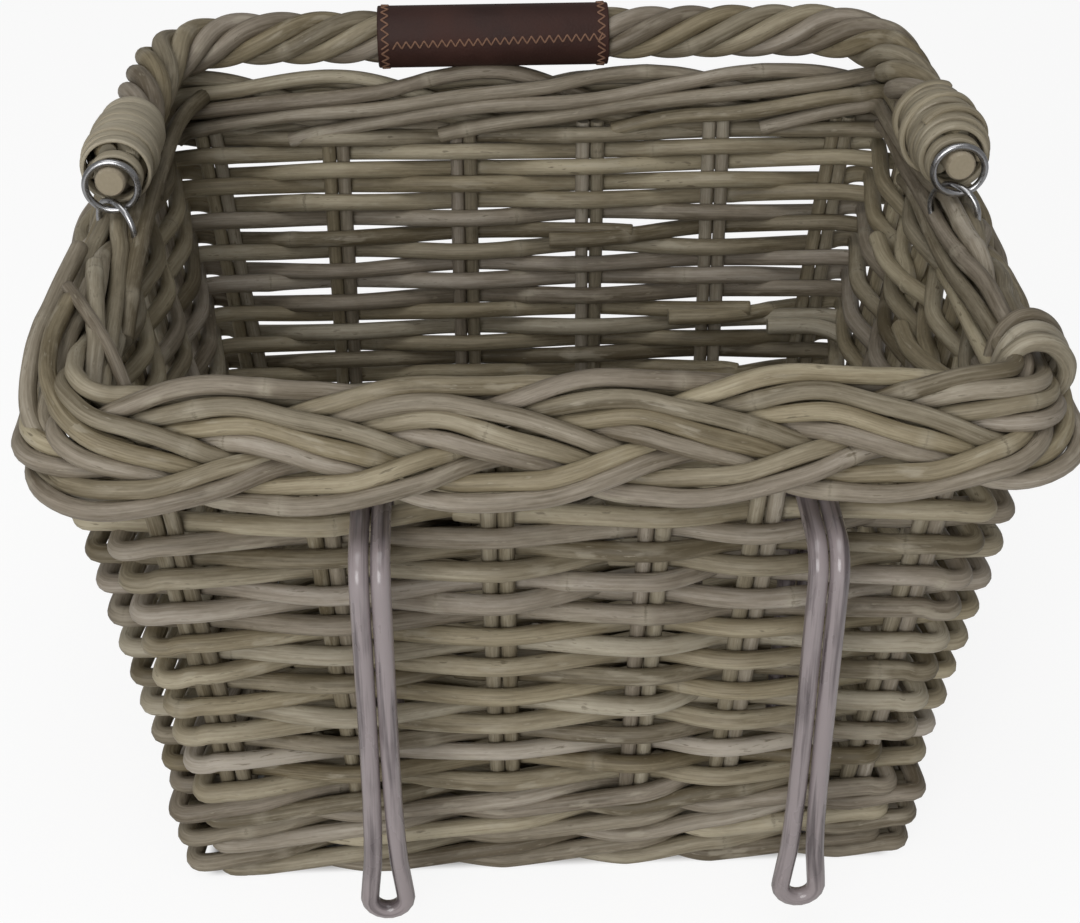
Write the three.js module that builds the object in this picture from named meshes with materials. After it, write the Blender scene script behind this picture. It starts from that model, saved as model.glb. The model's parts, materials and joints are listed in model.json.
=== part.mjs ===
import * as THREE from 'three';

// Woven rattan bicycle basket with a swinging handle and two handlebar hooks.
// Millimetres, Z up, the hook wall towards -Y, the origin under the middle of the base.

// Rods and clearances
const ROD = 7; // side of a weaving rod's section
const STAKE = 6.6; // diameter of an upright stake
const CLEARANCE = 0.4; // between pieces that touch
const STAKE_SIDES = 8;

// Walls, as half sizes of the surface that the stakes stand on
const FOOT_HALF_X = 140;
const FOOT_HALF_Y = 114;
const HEAD_HALF_X = 168;
const HEAD_HALF_Y = 129.5;
const WALL_HEIGHT = 205; // height at which the head sizes hold
const STAKE_FOOT_Z = 4.4;
const STAKE_TOP_Z = 232;

// Places of the stake pairs along each wall at the head, and how they draw together at the foot
const PAIR_PITCH = 60;
const CORNER_INSET_X = 21; // of the last pair of a long wall from its end
const CORNER_INSET_Y = 41.5; // the same on a short wall
const CORNER_X = HEAD_HALF_X - CORNER_INSET_X;
const CORNER_Y = HEAD_HALF_Y - CORNER_INSET_Y;
const FRONT_INNER_PAIRS = [-88, -21, 40, 82]; // spaced to leave room for the hooks
const BACK_INNER_PAIRS = [1.5 * PAIR_PITCH, 0.5 * PAIR_PITCH, -0.5 * PAIR_PITCH, -1.5 * PAIR_PITCH];
const FRONT_PAIRS = [-CORNER_X, ...FRONT_INNER_PAIRS, CORNER_X];
const BACK_PAIRS = [CORNER_X, ...BACK_INNER_PAIRS, -CORNER_X];
const RIGHT_PAIRS = [-CORNER_Y, -0.5 * PAIR_PITCH, 0.5 * PAIR_PITCH, CORNER_Y];
const LEFT_PAIRS = [CORNER_Y, 0.5 * PAIR_PITCH, -0.5 * PAIR_PITCH, -CORNER_Y];
const FOOT_SPREAD = 4.48; // of the pairs at the foot, beyond the wall's own taper
const FOOT_DRAW = (FOOT_HALF_X + FOOT_SPREAD) / HEAD_HALF_X;
const BACK_DRAW = 1; // of the inner pairs of the back wall, which stand upright

// Weave: a foot rod, a second one wound round and round above it, and single rods above that
const FOOT_ROWS = 6; // rows of the two foot rods
const FOOT_START = 13; // the pair, counted from 0, where the wound rod starts and climbs to its next row
const FOOT_OUTER_ROWS = 2; // rows that lie outside every stake, in front of the base
const FOOT_REPEAT = 3; // pairs in a repeat of the other foot rows: outside two, inside the third
const WALL_ROWS = 18; // up to the row that the hooks sit on
const TOP_ROWS = 2; // above the hooks
const FOOT_GAP = 0.56; // between the foot rows
const WALL_GAP = 1.45; // between the other rows
const PAIR_REACH = 8; // a rod runs level this far to each side of a pair
const CORNER_REACH = 13; // the same on the side of a corner

// Base
const FRAME_ROD = 8;
const BASE_ROD = 6.2; // stick and weaver of the base
const STICK_PITCH = 52;
const STICKS = 5;
const BASE_PASSES = 15;
const BASE_PASS_PITCH = 11.8;
const STICK_REACH = 6; // a base weaver runs level this far to each side of a stick
const FRAME_SIDES = 8;
const FRAME_CORNER = 16;
const FRAME_BEND_STEPS = 3;

// Border
const BORDER_Z = 238; // height of the middle of the plait
const BORDER_STANDOFF = 9.6; // from the stakes' surface to the middle of the plait
const BORDER_CORNER = 40;
const PLAIT_LEAN = THREE.MathUtils.degToRad(55); // of its flat face, from level
const PLAIT_WAVES = 6; // waves of one strand in a whole round
const PLAIT_SWING = 17.5;
const STRAND_WIDTH = 10.6;
const STRAND_THICKNESS = 7.5;
const STRANDS = 3;
const INNER_ROD = 7;
const INNER_ROD_SIDES = 8;
const INNER_CORNER = 24;
const INNER_BEND_STEPS = 4;
const INNER_ROD_SETBACK = 4.2; // of the inner rod's middle, in from the stakes' surface

// Rings that carry the handle
const RIM_WIRE = 2.8;
const RIM_RING_RADIUS = 11.5;
const RIM_RING_PLAY = 1.2; // under the strand that it goes round
const RING_TURN = THREE.MathUtils.degToRad(45); // of the rim ring's plane from the X axis
const HANDLE_WIRE = 3.2;
const HANDLE_RING_RADIUS = 10.6;
const RING_Y = -6; // of the rings from the middle of the short walls
const RING_STEPS = 20;
const RING_SIDES = 6;
const RING_PLAY = 0.6; // between the two linked wires

// Handle, drawn lying back on the border
const CORE = 13; // diameter of the core rod
const CORE_SIDES = 8;
const CORE_TIP = 1.8; // length in front of its ring
const BAR_REACH = 145; // from the hinge to the axis of the bar
const BAR_HALF = 164; // half the width at the bar
const BEND_RADIUS = 38;
const BEND_STEPS = 6;
const ROPE = 24; // diameter over the twisted rods
const ROPE_VALLEY = 20.8; // diameter at the valleys between them
const ROPE_RODS = 5;
const ROPE_LEAD = 88;
const ROPE_STEPS_PER_LEAD = 8;
const ROPE_START = 10.5; // from the hinge to the end of the twisted rods

// Cane binding at each end of the handle
const CANE_WIDTH = 4.2;
const CANE_THICKNESS = 3;
const CANE_SIDES = 5;
const CANE_TURNS = 8;
const CANE_PITCH = 5;
const CANE_STEPS = 12;

// Leather sleeve
const SLEEVE_LEFT = -68;
const SLEEVE_RIGHT = 38;
const LEATHER = 1.7;
const SLEEVE_SIDES = 16;

// Hooks
const HOOK_ROD = 7.5;
const HOOK_SIDES = 8;
const HOOK_PLACES = { left: -68, right: 100 };
const HOOK_LEG_GAP = 0.8; // between the two legs
const HOOK_LEG_Y = -167;
const HOOK_BOTTOM_Z = 20;
const HOOK_BEND = 12;
const HOOK_INNER_EASE = 4.8; // extra room for the bend inside the wall
const HOOK_BEND_STEPS = 4;
const HOOK_SEAT_END = -141; // where the level seat for the handlebar ends
const HOOK_LIFT = 1.2; // of the rod from there to the bend inside the wall
const EYE_RADIUS = 9; // at the middle of the rod
const EYE_RISE = 30; // from the eye's centre to where the legs meet
const EYE_STEPS = 8;
const HOOK_INNER_Z = 70; // lower end of the inner legs

const Z_AXIS = new THREE.Vector3(0, 0, 1);
const X_AXIS = new THREE.Vector3(1, 0, 0);
const TURN = Math.PI * 2;

const MATERIALS = {
  rattan: new THREE.MeshStandardMaterial({ color: 0x8f8468, roughness: 0.75, metalness: 0 }),
  cane: new THREE.MeshStandardMaterial({ color: 0x9a7f5c, roughness: 0.6, metalness: 0 }),
  leather: new THREE.MeshStandardMaterial({ color: 0x40292a, roughness: 0.55, metalness: 0 }),
  steel: new THREE.MeshStandardMaterial({ color: 0xa9a8a4, roughness: 0.3, metalness: 1 }),
  coating: new THREE.MeshStandardMaterial({ color: 0x8c8280, roughness: 0.3, metalness: 0 }),
};

const lerp = THREE.MathUtils.lerp;
const vec = (x, y, z) => new THREE.Vector3(x, y, z);

// Round section of the given diameter, with a flat at the start of each axis
function roundSection(diameter, sides) {
  const radius = diameter / 2 / Math.cos(Math.PI / sides);
  return Array.from({ length: sides }, (_, i) => {
    const angle = ((i + 0.5) / sides) * TURN;
    return [Math.cos(angle) * radius, Math.sin(angle) * radius];
  });
}

function boxSection(width, height) {
  const a = width / 2;
  const b = height / 2;
  return [[-a, -b], [a, -b], [a, b], [-a, b]];
}

function signedVolume(points, index) {
  let sum = 0;
  for (let i = 0; i < index.length; i += 3) {
    const [a, b, c] = [points[index[i]], points[index[i + 1]], points[index[i + 2]]];
    sum += a.dot(b.clone().cross(c));
  }
  return sum / 6;
}

// Closed solid through rings of equal length, capped at both ends unless it closes on itself
function loft(rings, closed) {
  const sides = rings[0].length;
  const points = rings.flat();
  const index = [];
  const spans = closed ? rings.length : rings.length - 1;
  for (let r = 0; r < spans; r += 1) {
    const here = r * sides;
    const there = ((r + 1) % rings.length) * sides;
    for (let s = 0; s < sides; s += 1) {
      const next = (s + 1) % sides;
      index.push(here + s, here + next, there + next, here + s, there + next, there + s);
    }
  }
  if (!closed) {
    const last = (rings.length - 1) * sides;
    for (let s = 1; s < sides - 1; s += 1) {
      index.push(0, s + 1, s, last, last + s, last + s + 1);
    }
  }
  return solid(points, index);
}

function solid(points, index) {
  if (signedVolume(points, index) < 0) {
    index.reverse();
  }
  const geometry = new THREE.BufferGeometry();
  geometry.setFromPoints(points);
  geometry.setIndex(index);
  geometry.computeVertexNormals();
  return geometry;
}

// Bar of constant section along a path of straight runs, mitred at each bend.
// The section's first axis starts along the hint and turns with the path.
function sweep(path, section, hint, closed = false) {
  const count = path.length;
  const spans = closed ? count : count - 1;
  const directions = [];
  for (let i = 0; i < spans; i += 1) {
    directions.push(path[(i + 1) % count].clone().sub(path[i]).normalize());
  }
  const first = hint.clone().addScaledVector(directions[0], -hint.dot(directions[0])).normalize();
  const axes = [first];
  for (let i = 1; i < spans; i += 1) {
    const turn = new THREE.Quaternion().setFromUnitVectors(directions[i - 1], directions[i]);
    axes.push(axes[i - 1].clone().applyQuaternion(turn));
  }
  const rings = path.map((point, i) => {
    const before = closed ? (i + spans - 1) % spans : Math.max(i - 1, 0);
    const after = Math.min(i, spans - 1);
    const mitre = directions[before].clone().add(directions[after]).normalize();
    const direction = directions[after];
    const across = axes[after];
    const beside = direction.clone().cross(across);
    return section.map(([a, b]) => {
      const offset = across.clone().multiplyScalar(a).addScaledVector(beside, b);
      offset.addScaledVector(direction, -offset.dot(mitre) / direction.dot(mitre));
      return offset.add(point);
    });
  });
  return loft(rings, closed);
}

// Bar of box section along a path of nearly level runs, mitred in plan, its section kept upright
function levelBar(path, width, height, closed = false) {
  const count = path.length;
  const flat = (from, to) => to.clone().sub(from).setZ(0).normalize();
  const rings = path.map((point, i) => {
    const previous = path[closed ? (i + count - 1) % count : Math.max(i - 1, 0)];
    const following = path[closed ? (i + 1) % count : Math.min(i + 1, count - 1)];
    const on = following === point ? flat(previous, point) : flat(point, following);
    const back = previous === point ? on : flat(previous, point);
    const beside = back.clone().cross(Z_AXIS).add(on.clone().cross(Z_AXIS)).normalize();
    const stretch = 1 / beside.dot(on.clone().cross(Z_AXIS));
    return boxSection(width, height).map(([a, b]) => point.clone()
      .addScaledVector(beside, a * stretch).addScaledVector(Z_AXIS, b));
  });
  return loft(rings, closed);
}

// Path of straight runs whose inner corners are rounded
function rounded(corners, radius, steps) {
  const path = [corners[0]];
  for (let i = 1; i < corners.length - 1; i += 1) {
    const back = corners[i - 1].clone().sub(corners[i]).normalize();
    const on = corners[i + 1].clone().sub(corners[i]).normalize();
    const half = back.angleTo(on) / 2;
    const bisector = back.clone().add(on).normalize();
    const centre = corners[i].clone().addScaledVector(bisector, radius / Math.sin(half));
    const start = corners[i].clone().addScaledVector(back, radius / Math.tan(half)).sub(centre);
    const sweepAngle = Math.PI - 2 * half;
    const axis = back.clone().cross(on).normalize();
    for (let s = 0; s <= steps; s += 1) {
      path.push(start.clone().applyAxisAngle(axis, (-sweepAngle * s) / steps).add(centre));
    }
  }
  path.push(corners.at(-1));
  return path;
}

function circle(centre, axisA, axisB, radius, steps) {
  return Array.from({ length: steps }, (_, i) => {
    const angle = (i / steps) * TURN;
    return centre.clone()
      .addScaledVector(axisA, Math.cos(angle) * radius)
      .addScaledVector(axisB, Math.sin(angle) * radius);
  });
}

// Walls

const SIDES = {
  front: { normal: vec(0, -1, 0), along: vec(1, 0, 0), places: FRONT_PAIRS, draw: FOOT_DRAW },
  right: { normal: vec(1, 0, 0), along: vec(0, 1, 0), places: RIGHT_PAIRS, draw: FOOT_DRAW },
  back: { normal: vec(0, 1, 0), along: vec(1, 0, 0), places: BACK_PAIRS, draw: BACK_DRAW },
  left: { normal: vec(-1, 0, 0), along: vec(0, 1, 0), places: LEFT_PAIRS, draw: FOOT_DRAW },
};

// Half sizes of the stakes' surface at a height
function wallAt(z) {
  const share = z / WALL_HEIGHT;
  return { x: lerp(FOOT_HALF_X, HEAD_HALF_X, share), y: lerp(FOOT_HALF_Y, HEAD_HALF_Y, share) };
}

const PAIRS = Object.entries(SIDES).flatMap(([name, side]) => side.places.map((place, i) => ({
  name: `stake_pair_${name}_${i + 1}`,
  place,
  normal: side.normal,
  along: side.along,
  travel: Z_AXIS.clone().cross(side.normal),
  opens: i === 0,
  closes: i === side.places.length - 1,
  draw: i === 0 || i === side.places.length - 1 ? FOOT_DRAW : side.draw,
})));

function pairAt(pair, z) {
  const half = wallAt(z);
  const draw = lerp(pair.draw, 1, z / WALL_HEIGHT);
  const out = Math.abs(pair.normal.x) * half.x + Math.abs(pair.normal.y) * half.y;
  return vec(0, 0, z).addScaledVector(pair.along, pair.place * draw).addScaledVector(pair.normal, out);
}

// A rod folded at the foot into two upright stakes
function stakePair(pair) {
  const spread = (STAKE + CLEARANCE) / 2;
  const foot = pairAt(pair, STAKE_FOOT_Z);
  const top = pairAt(pair, STAKE_TOP_Z);
  const path = [
    top.clone().addScaledVector(pair.along, -spread),
    foot.clone().addScaledVector(pair.along, -spread),
    foot.clone().addScaledVector(pair.along, spread),
    top.clone().addScaledVector(pair.along, spread),
  ];
  return sweep(path, roundSection(STAKE, STAKE_SIDES), pair.normal);
}

const WALL_SLOPE = Math.max(HEAD_HALF_X - FOOT_HALF_X, HEAD_HALF_Y - FOOT_HALF_Y) / WALL_HEIGHT;
const ROW_OFFSET = (STAKE + ROD) / 2 + CLEARANCE + (WALL_SLOPE * ROD) / 2;

function rowHeight(row) {
  const foot = FOOT_ROWS - 1;
  return ROD / 2 + Math.min(row, foot) * (ROD + FOOT_GAP) + Math.max(row - foot, 0) * (ROD + WALL_GAP);
}

// The two ends of a rod's level run across a pair
function passPair(pair, z, outside) {
  const point = pairAt(pair, z).addScaledVector(pair.normal, outside ? ROW_OFFSET : -ROW_OFFSET);
  return [
    point.clone().addScaledVector(pair.travel, -(pair.opens ? CORNER_REACH : PAIR_REACH)),
    point.clone().addScaledVector(pair.travel, pair.closes ? CORNER_REACH : PAIR_REACH),
  ];
}

function footRod() {
  return levelBar(PAIRS.flatMap((pair) => passPair(pair, rowHeight(0), true)), ROD, ROD, true);
}

// One rod wound round all four walls for the rest of the foot rows
function woundFootRod() {
  const path = [];
  for (let row = 1; row < FOOT_ROWS; row += 1) {
    for (let step = 0; step < PAIRS.length; step += 1) {
      const i = (FOOT_START + step) % PAIRS.length;
      const outside = row < FOOT_OUTER_ROWS || (i + row) % FOOT_REPEAT !== FOOT_REPEAT - 1;
      path.push(...passPair(PAIRS[i], rowHeight(row), outside));
    }
  }
  return levelBar(path, ROD, ROD);
}

// The rows above the hooks rise towards the hook wall, to leave room for the hooks under them
const TOP_LIFT = HOOK_ROD + HOOK_LIFT + 2 * CLEARANCE - WALL_GAP;

// One rod round all four walls, in front of one pair and behind the next
function weavingRod(row) {
  const path = PAIRS.flatMap((pair, i) => {
    const z = rowHeight(row);
    const towards = -pairAt(pair, z).y / HEAD_HALF_Y;
    const lift = row < FOOT_ROWS + WALL_ROWS ? 0 : TOP_LIFT * THREE.MathUtils.clamp(towards, 0, 1);
    return passPair(pair, z + lift, (i + row) % 2 === 0);
  });
  return levelBar(path, ROD, ROD, true);
}

// Base

const FRAME_INSET = (STAKE + FRAME_ROD) / 2 + CLEARANCE;
const BASE_MID_Z = 1.5 * BASE_ROD + CLEARANCE; // of the sticks, with a weaver under them on the floor

function roundedLoop(halfX, halfY, z, radius, steps) {
  const corners = [
    vec(0, -halfY, z), vec(halfX, -halfY, z), vec(halfX, halfY, z),
    vec(-halfX, halfY, z), vec(-halfX, -halfY, z), vec(0, -halfY, z),
  ];
  return rounded(corners, radius, steps).slice(0, -1);
}

function baseFrame() {
  const half = wallAt(BASE_MID_Z - FRAME_ROD / 2);
  const x = half.x - FRAME_INSET;
  const y = half.y - FRAME_INSET;
  const path = roundedLoop(x, y, BASE_MID_Z, FRAME_CORNER, FRAME_BEND_STEPS);
  return sweep(path, roundSection(FRAME_ROD, FRAME_SIDES), Z_AXIS, true);
}

// Half sizes of the space inside the base frame, less half a base rod
function baseRoom() {
  const half = wallAt(BASE_MID_Z - FRAME_ROD / 2);
  const edge = FRAME_INSET + FRAME_ROD / 2 + CLEARANCE + BASE_ROD / 2;
  return { x: half.x - edge, y: half.y - edge };
}

function stickPlace(stick) {
  return (stick - (STICKS - 1) / 2) * STICK_PITCH;
}

// One rod that goes to and fro across the base as its sticks
function baseSticks() {
  const { y } = baseRoom();
  const path = [];
  for (let stick = 0; stick < STICKS; stick += 1) {
    const start = stick % 2 === 0 ? -y : y;
    path.push(vec(stickPlace(stick), start, BASE_MID_Z), vec(stickPlace(stick), -start, BASE_MID_Z));
  }
  return levelBar(path, BASE_ROD, BASE_ROD);
}

// One rod woven to and fro over and under the sticks
function baseWeaver() {
  const { x } = baseRoom();
  const lift = BASE_ROD + CLEARANCE;
  const path = [];
  for (let pass = 0; pass < BASE_PASSES; pass += 1) {
    const y = (pass - (BASE_PASSES - 1) / 2) * BASE_PASS_PITCH;
    const way = pass % 2 === 0 ? 1 : -1;
    path.push(vec(-way * x, y, BASE_MID_Z));
    for (let i = 0; i < STICKS; i += 1) {
      const stick = way > 0 ? i : STICKS - 1 - i;
      const z = BASE_MID_Z + ((stick + pass) % 2 === 0 ? lift : -lift);
      path.push(vec(stickPlace(stick) - way * STICK_REACH, y, z));
      path.push(vec(stickPlace(stick) + way * STICK_REACH, y, z));
    }
    path.push(vec(way * x, y, BASE_MID_Z));
  }
  return levelBar(path, BASE_ROD, BASE_ROD);
}

// Border

// Rounded rectangle by length along it, from the middle of the right side, anticlockwise
class BorderLine {
  constructor(halfX, halfY, radius) {
    const [x, y] = [halfX - radius, halfY - radius];
    const quarter = (radius * Math.PI) / 2;
    this.runs = [
      { length: y, from: vec(halfX, 0, 0), heading: Math.PI / 2 },
      { length: quarter, centre: vec(x, y, 0), heading: 0 },
      { length: 2 * x, from: vec(x, halfY, 0), heading: Math.PI },
      { length: quarter, centre: vec(-x, y, 0), heading: Math.PI / 2 },
      { length: 2 * y, from: vec(-halfX, y, 0), heading: -Math.PI / 2 },
      { length: quarter, centre: vec(-x, -y, 0), heading: Math.PI },
      { length: 2 * x, from: vec(-x, -halfY, 0), heading: 0 },
      { length: quarter, centre: vec(x, -y, 0), heading: -Math.PI / 2 },
      { length: y, from: vec(halfX, -y, 0), heading: Math.PI / 2 },
    ];
    this.radius = radius;
    this.length = this.runs.reduce((sum, run) => sum + run.length, 0);
  }

  at(distance) {
    let left = distance;
    let run = this.runs[0];
    for (run of this.runs) {
      if (left <= run.length) {
        break;
      }
      left -= run.length;
    }
    if (run.centre) {
      const angle = run.heading + left / this.radius;
      const normal = vec(Math.cos(angle), Math.sin(angle), 0);
      return { point: run.centre.clone().addScaledVector(normal, this.radius), normal };
    }
    const travel = vec(Math.cos(run.heading), Math.sin(run.heading), 0);
    return { point: run.from.clone().addScaledVector(travel, left), normal: vec(travel.y, -travel.x, 0) };
  }
}

const RIM_HALF = { x: wallAt(BORDER_Z).x + BORDER_STANDOFF, y: wallAt(BORDER_Z).y + BORDER_STANDOFF };
const BORDER_LINE = new BorderLine(RIM_HALF.x, RIM_HALF.y, BORDER_CORNER);
const CROSSINGS = 2 * STRANDS; // of each strand with the others in one wave
const CROSSING = TURN / CROSSINGS; // phase from one crossing to the next
const PLAIT_DEPTH = (STRAND_THICKNESS + CLEARANCE) / 2;
// Two strands stay apart in depth for this much phase to each side of a crossing
const CROSSING_HOLD = Math.asin((STRAND_WIDTH + CLEARANCE) / (2 * PLAIT_SWING * Math.sin(CROSSING)));

// Depth of a strand in the plait: over at one crossing, under at the next
function plaitDepth(phase) {
  const turn = THREE.MathUtils.euclideanModulo(phase - CROSSING, Math.PI);
  const ramp = (low, high) => THREE.MathUtils.clamp((turn - low) / (high - low), 0, 1);
  const down = ramp(CROSSING_HOLD, CROSSING - CROSSING_HOLD);
  const up = ramp(CROSSING + CROSSING_HOLD, Math.PI - CROSSING_HOLD);
  return PLAIT_DEPTH * (1 - 2 * down + 2 * up);
}

// Middle of a place in the plait: swing runs up and inwards, depth up and outwards
function plaitPoint(distance, swing, depth) {
  const { point, normal } = BORDER_LINE.at(distance);
  const out = -swing * Math.cos(PLAIT_LEAN) + depth * Math.sin(PLAIT_LEAN);
  const up = swing * Math.sin(PLAIT_LEAN) + depth * Math.cos(PLAIT_LEAN);
  return point.clone().addScaledVector(normal, out).setZ(BORDER_Z + up);
}

function plaitStrand(strand) {
  const stops = [0, CROSSING_HOLD, CROSSING - CROSSING_HOLD];
  const rings = [];
  for (let span = 0; span < PLAIT_WAVES * CROSSINGS; span += 1) {
    for (const stop of stops) {
      const travel = span * CROSSING + stop;
      const phase = travel + (strand / STRANDS) * TURN;
      const distance = (travel / TURN / PLAIT_WAVES) * BORDER_LINE.length;
      const swing = PLAIT_SWING * Math.cos(phase);
      const depth = plaitDepth(phase);
      rings.push(boxSection(STRAND_WIDTH, STRAND_THICKNESS)
        .map(([a, b]) => plaitPoint(distance, swing + a, depth + b)));
    }
  }
  return loft(rings, true);
}

const PLAIT_TOP = BORDER_Z + (PLAIT_SWING + STRAND_WIDTH / 2) * Math.sin(PLAIT_LEAN)
  + (STRAND_THICKNESS / 2) * Math.cos(PLAIT_LEAN);

// Rod along the inner side of the border, seated on the stakes' upper ends
function innerRod() {
  const z = STAKE_TOP_Z + (WALL_SLOPE * STAKE) / 2 + CLEARANCE + INNER_ROD / 2;
  const half = wallAt(STAKE_TOP_Z);
  const x = half.x - INNER_ROD_SETBACK;
  const y = half.y - INNER_ROD_SETBACK;
  const path = roundedLoop(x, y, z, INNER_CORNER, INNER_BEND_STEPS);
  return sweep(path, roundSection(INNER_ROD, INNER_ROD_SIDES), Z_AXIS, true);
}

// Rings that carry the handle

const RING_PLACE = plaitPoint(0, PLAIT_SWING, 0);
const STRAND_FOOT = (STRAND_WIDTH / 2) * Math.sin(PLAIT_LEAN)
  + (STRAND_THICKNESS / 2) * Math.cos(PLAIT_LEAN);
const RIM_RING_Z = RING_PLACE.z - STRAND_FOOT - RIM_RING_PLAY - RIM_WIRE / 2 + RIM_RING_RADIUS;
const HINGE_Z = RIM_RING_Z + RIM_RING_RADIUS - (RIM_WIRE + HANDLE_WIRE) / 2 - RING_PLAY;

// Round wire whose edges lie on its diameter
function wireSection(diameter) {
  return roundSection(diameter * Math.cos(Math.PI / RING_SIDES), RING_SIDES);
}

// Ring round the top strand of the border; side is 1 on the right and -1 on the left
function rimRing(side) {
  const level = vec(Math.cos(RING_TURN), -Math.sin(RING_TURN), 0).multiplyScalar(side);
  const centre = vec(side * RING_PLACE.x, RING_Y, RIM_RING_Z);
  const path = circle(centre, level, Z_AXIS, RIM_RING_RADIUS, RING_STEPS);
  return sweep(path, wireSection(RIM_WIRE), level.clone().cross(Z_AXIS), true);
}

// Handle, in a frame with its origin on the hinge line

const CORE_FLAT = (CORE / 2) * Math.cos(Math.PI / CORE_SIDES);
// Of the handle ring's centre below the core's
const RING_HANG = HANDLE_RING_RADIUS - CORE_FLAT - CLEARANCE - HANDLE_WIRE / 2;
const LEG_RISE = HANDLE_RING_RADIUS + RING_HANG; // of the core's axis above the hinge
const SLEEVE_BORE = ROPE / 2 + CLEARANCE;
const SLEEVE_OUTER = SLEEVE_BORE + LEATHER;
const BAR_RISE = PLAIT_TOP + CLEARANCE + SLEEVE_OUTER - HINGE_Z;
const LEG_LEAN = Math.atan2(BAR_RISE - LEG_RISE, BAR_REACH);
const LEG_WAY = vec(0, Math.cos(LEG_LEAN), Math.sin(LEG_LEAN));
const HANDLE_NORMAL = X_AXIS.clone().cross(LEG_WAY);
const LEG_FOOT = vec(0, 0, LEG_RISE);

// Point of the handle's plane, by place across and distance from the hinge
function handlePoint(across, reach) {
  return LEG_FOOT.clone().addScaledVector(X_AXIS, across).addScaledVector(LEG_WAY, reach);
}

// Point of a leg's axis; side is 1 on the right and -1 on the left
function legPoint(side, reach) {
  return handlePoint(side * lerp(RING_PLACE.x, BAR_HALF, reach / BAR_REACH), reach);
}

// The handle's line from leg to leg, starting at a distance from the hinge
function handleLine(start) {
  const corners = [
    legPoint(-1, start), legPoint(-1, BAR_REACH), legPoint(1, BAR_REACH), legPoint(1, start),
  ];
  return rounded(corners, BEND_RADIUS, BEND_STEPS);
}

// Place and directions at a length along a path of straight runs in the handle's plane
function stationAt(path, distance) {
  let left = distance;
  let i = 0;
  while (i < path.length - 2 && left > path[i].distanceTo(path[i + 1])) {
    left -= path[i].distanceTo(path[i + 1]);
    i += 1;
  }
  const way = path[i + 1].clone().sub(path[i]).normalize();
  return { point: path[i].clone().addScaledVector(way, left), way, side: HANDLE_NORMAL.clone().cross(way) };
}

function pathLength(path) {
  return path.slice(1).reduce((sum, point, i) => sum + point.distanceTo(path[i]), 0);
}

// Ring of points in the mitre plane at each point of a path in the handle's plane
function handleRings(path, section) {
  return path.map((point, i) => {
    const before = point.clone().sub(path[Math.max(i - 1, 0)]);
    const after = path[Math.min(i + 1, path.length - 1)].clone().sub(point);
    const way = before.normalize().add(after.normalize()).normalize();
    const side = HANDLE_NORMAL.clone().cross(way);
    return section.map(([a, b]) => point.clone()
      .addScaledVector(side, a).addScaledVector(HANDLE_NORMAL, b));
  });
}

function handleCore() {
  return loft(handleRings(handleLine(-CORE_TIP), roundSection(CORE_FLAT * 2, CORE_SIDES)), false);
}

// The twisted rods as one sleeve with a lobe for each rod and a bore for the core
function handleRope() {
  const path = handleLine(ROPE_START);
  const length = pathLength(path);
  const turns = Math.round(length / ROPE_LEAD);
  const steps = turns * ROPE_STEPS_PER_LEAD;
  const lobes = ROPE_RODS * 2;
  const outer = Array.from({ length: steps + 1 }, (_, step) => {
    const { point, side } = stationAt(path, (step / steps) * length);
    return Array.from({ length: lobes }, (_unused, lobe) => {
      const angle = (lobe / lobes - (step / steps) * turns) * TURN;
      const radius = (lobe % 2 === 0 ? ROPE : ROPE_VALLEY) / 2;
      return point.clone()
        .addScaledVector(side, Math.cos(angle) * radius)
        .addScaledVector(HANDLE_NORMAL, Math.sin(angle) * radius);
    });
  });
  const boreRadius = (CORE / 2 + CLEARANCE) / Math.cos(Math.PI / lobes);
  const bore = Array.from({ length: lobes }, (_, lobe) => {
    const angle = (lobe / lobes) * TURN;
    return [Math.cos(angle) * boreRadius, Math.sin(angle) * boreRadius];
  });
  return loft([...outer, ...handleRings(path, bore).reverse()], true);
}

// Ring that hangs on the core, with room below it for the rim ring to pass
function handleRing(side) {
  const centre = handlePoint(side * RING_PLACE.x, 0).addScaledVector(HANDLE_NORMAL, -RING_HANG);
  const path = circle(centre, X_AXIS, HANDLE_NORMAL, HANDLE_RING_RADIUS, RING_STEPS);
  return sweep(path, wireSection(HANDLE_WIRE), LEG_WAY, true);
}

// Cane wound round the end of the handle in one unbroken length
function binding(side) {
  const path = handleLine(ROPE_START);
  const coilRadius = ROPE / 2 + CLEARANCE + CANE_THICKNESS / 2;
  const steps = CANE_TURNS * CANE_STEPS;
  const rings = [];
  for (let step = 0; step <= steps; step += 1) {
    const turns = step / CANE_STEPS;
    const distance = CANE_WIDTH / 2 + turns * CANE_PITCH;
    const { point, way, side: beside } = stationAt(path, distance);
    const angle = turns * TURN;
    const radial = beside.clone().multiplyScalar(Math.cos(angle))
      .addScaledVector(HANDLE_NORMAL, Math.sin(angle));
    const tangent = way.clone().cross(radial);
    const ring = roundSection(1, CANE_SIDES).map(([a, b]) => point.clone()
      .addScaledVector(way, a * CANE_WIDTH * Math.cos(Math.PI / CANE_SIDES))
      .addScaledVector(radial, coilRadius + b * CANE_THICKNESS * Math.cos(Math.PI / CANE_SIDES)));
    const straight = (length) => ring.map((corner) => corner.clone().addScaledVector(tangent, length));
    if (step === 0) {
      rings.push(straight(-CANE_WIDTH));
    }
    rings.push(ring);
    if (step === steps) {
      rings.push(straight(CANE_WIDTH));
    }
  }
  if (side > 0) {
    rings.flat().forEach((point) => point.setX(-point.x));
  }
  const name = side > 0 ? 'right' : 'left';
  console.log(`${name} binding: least gap to itself ${leastGap(rings).toFixed(2)} mm`);
  return loft(rings, false);
}

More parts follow.
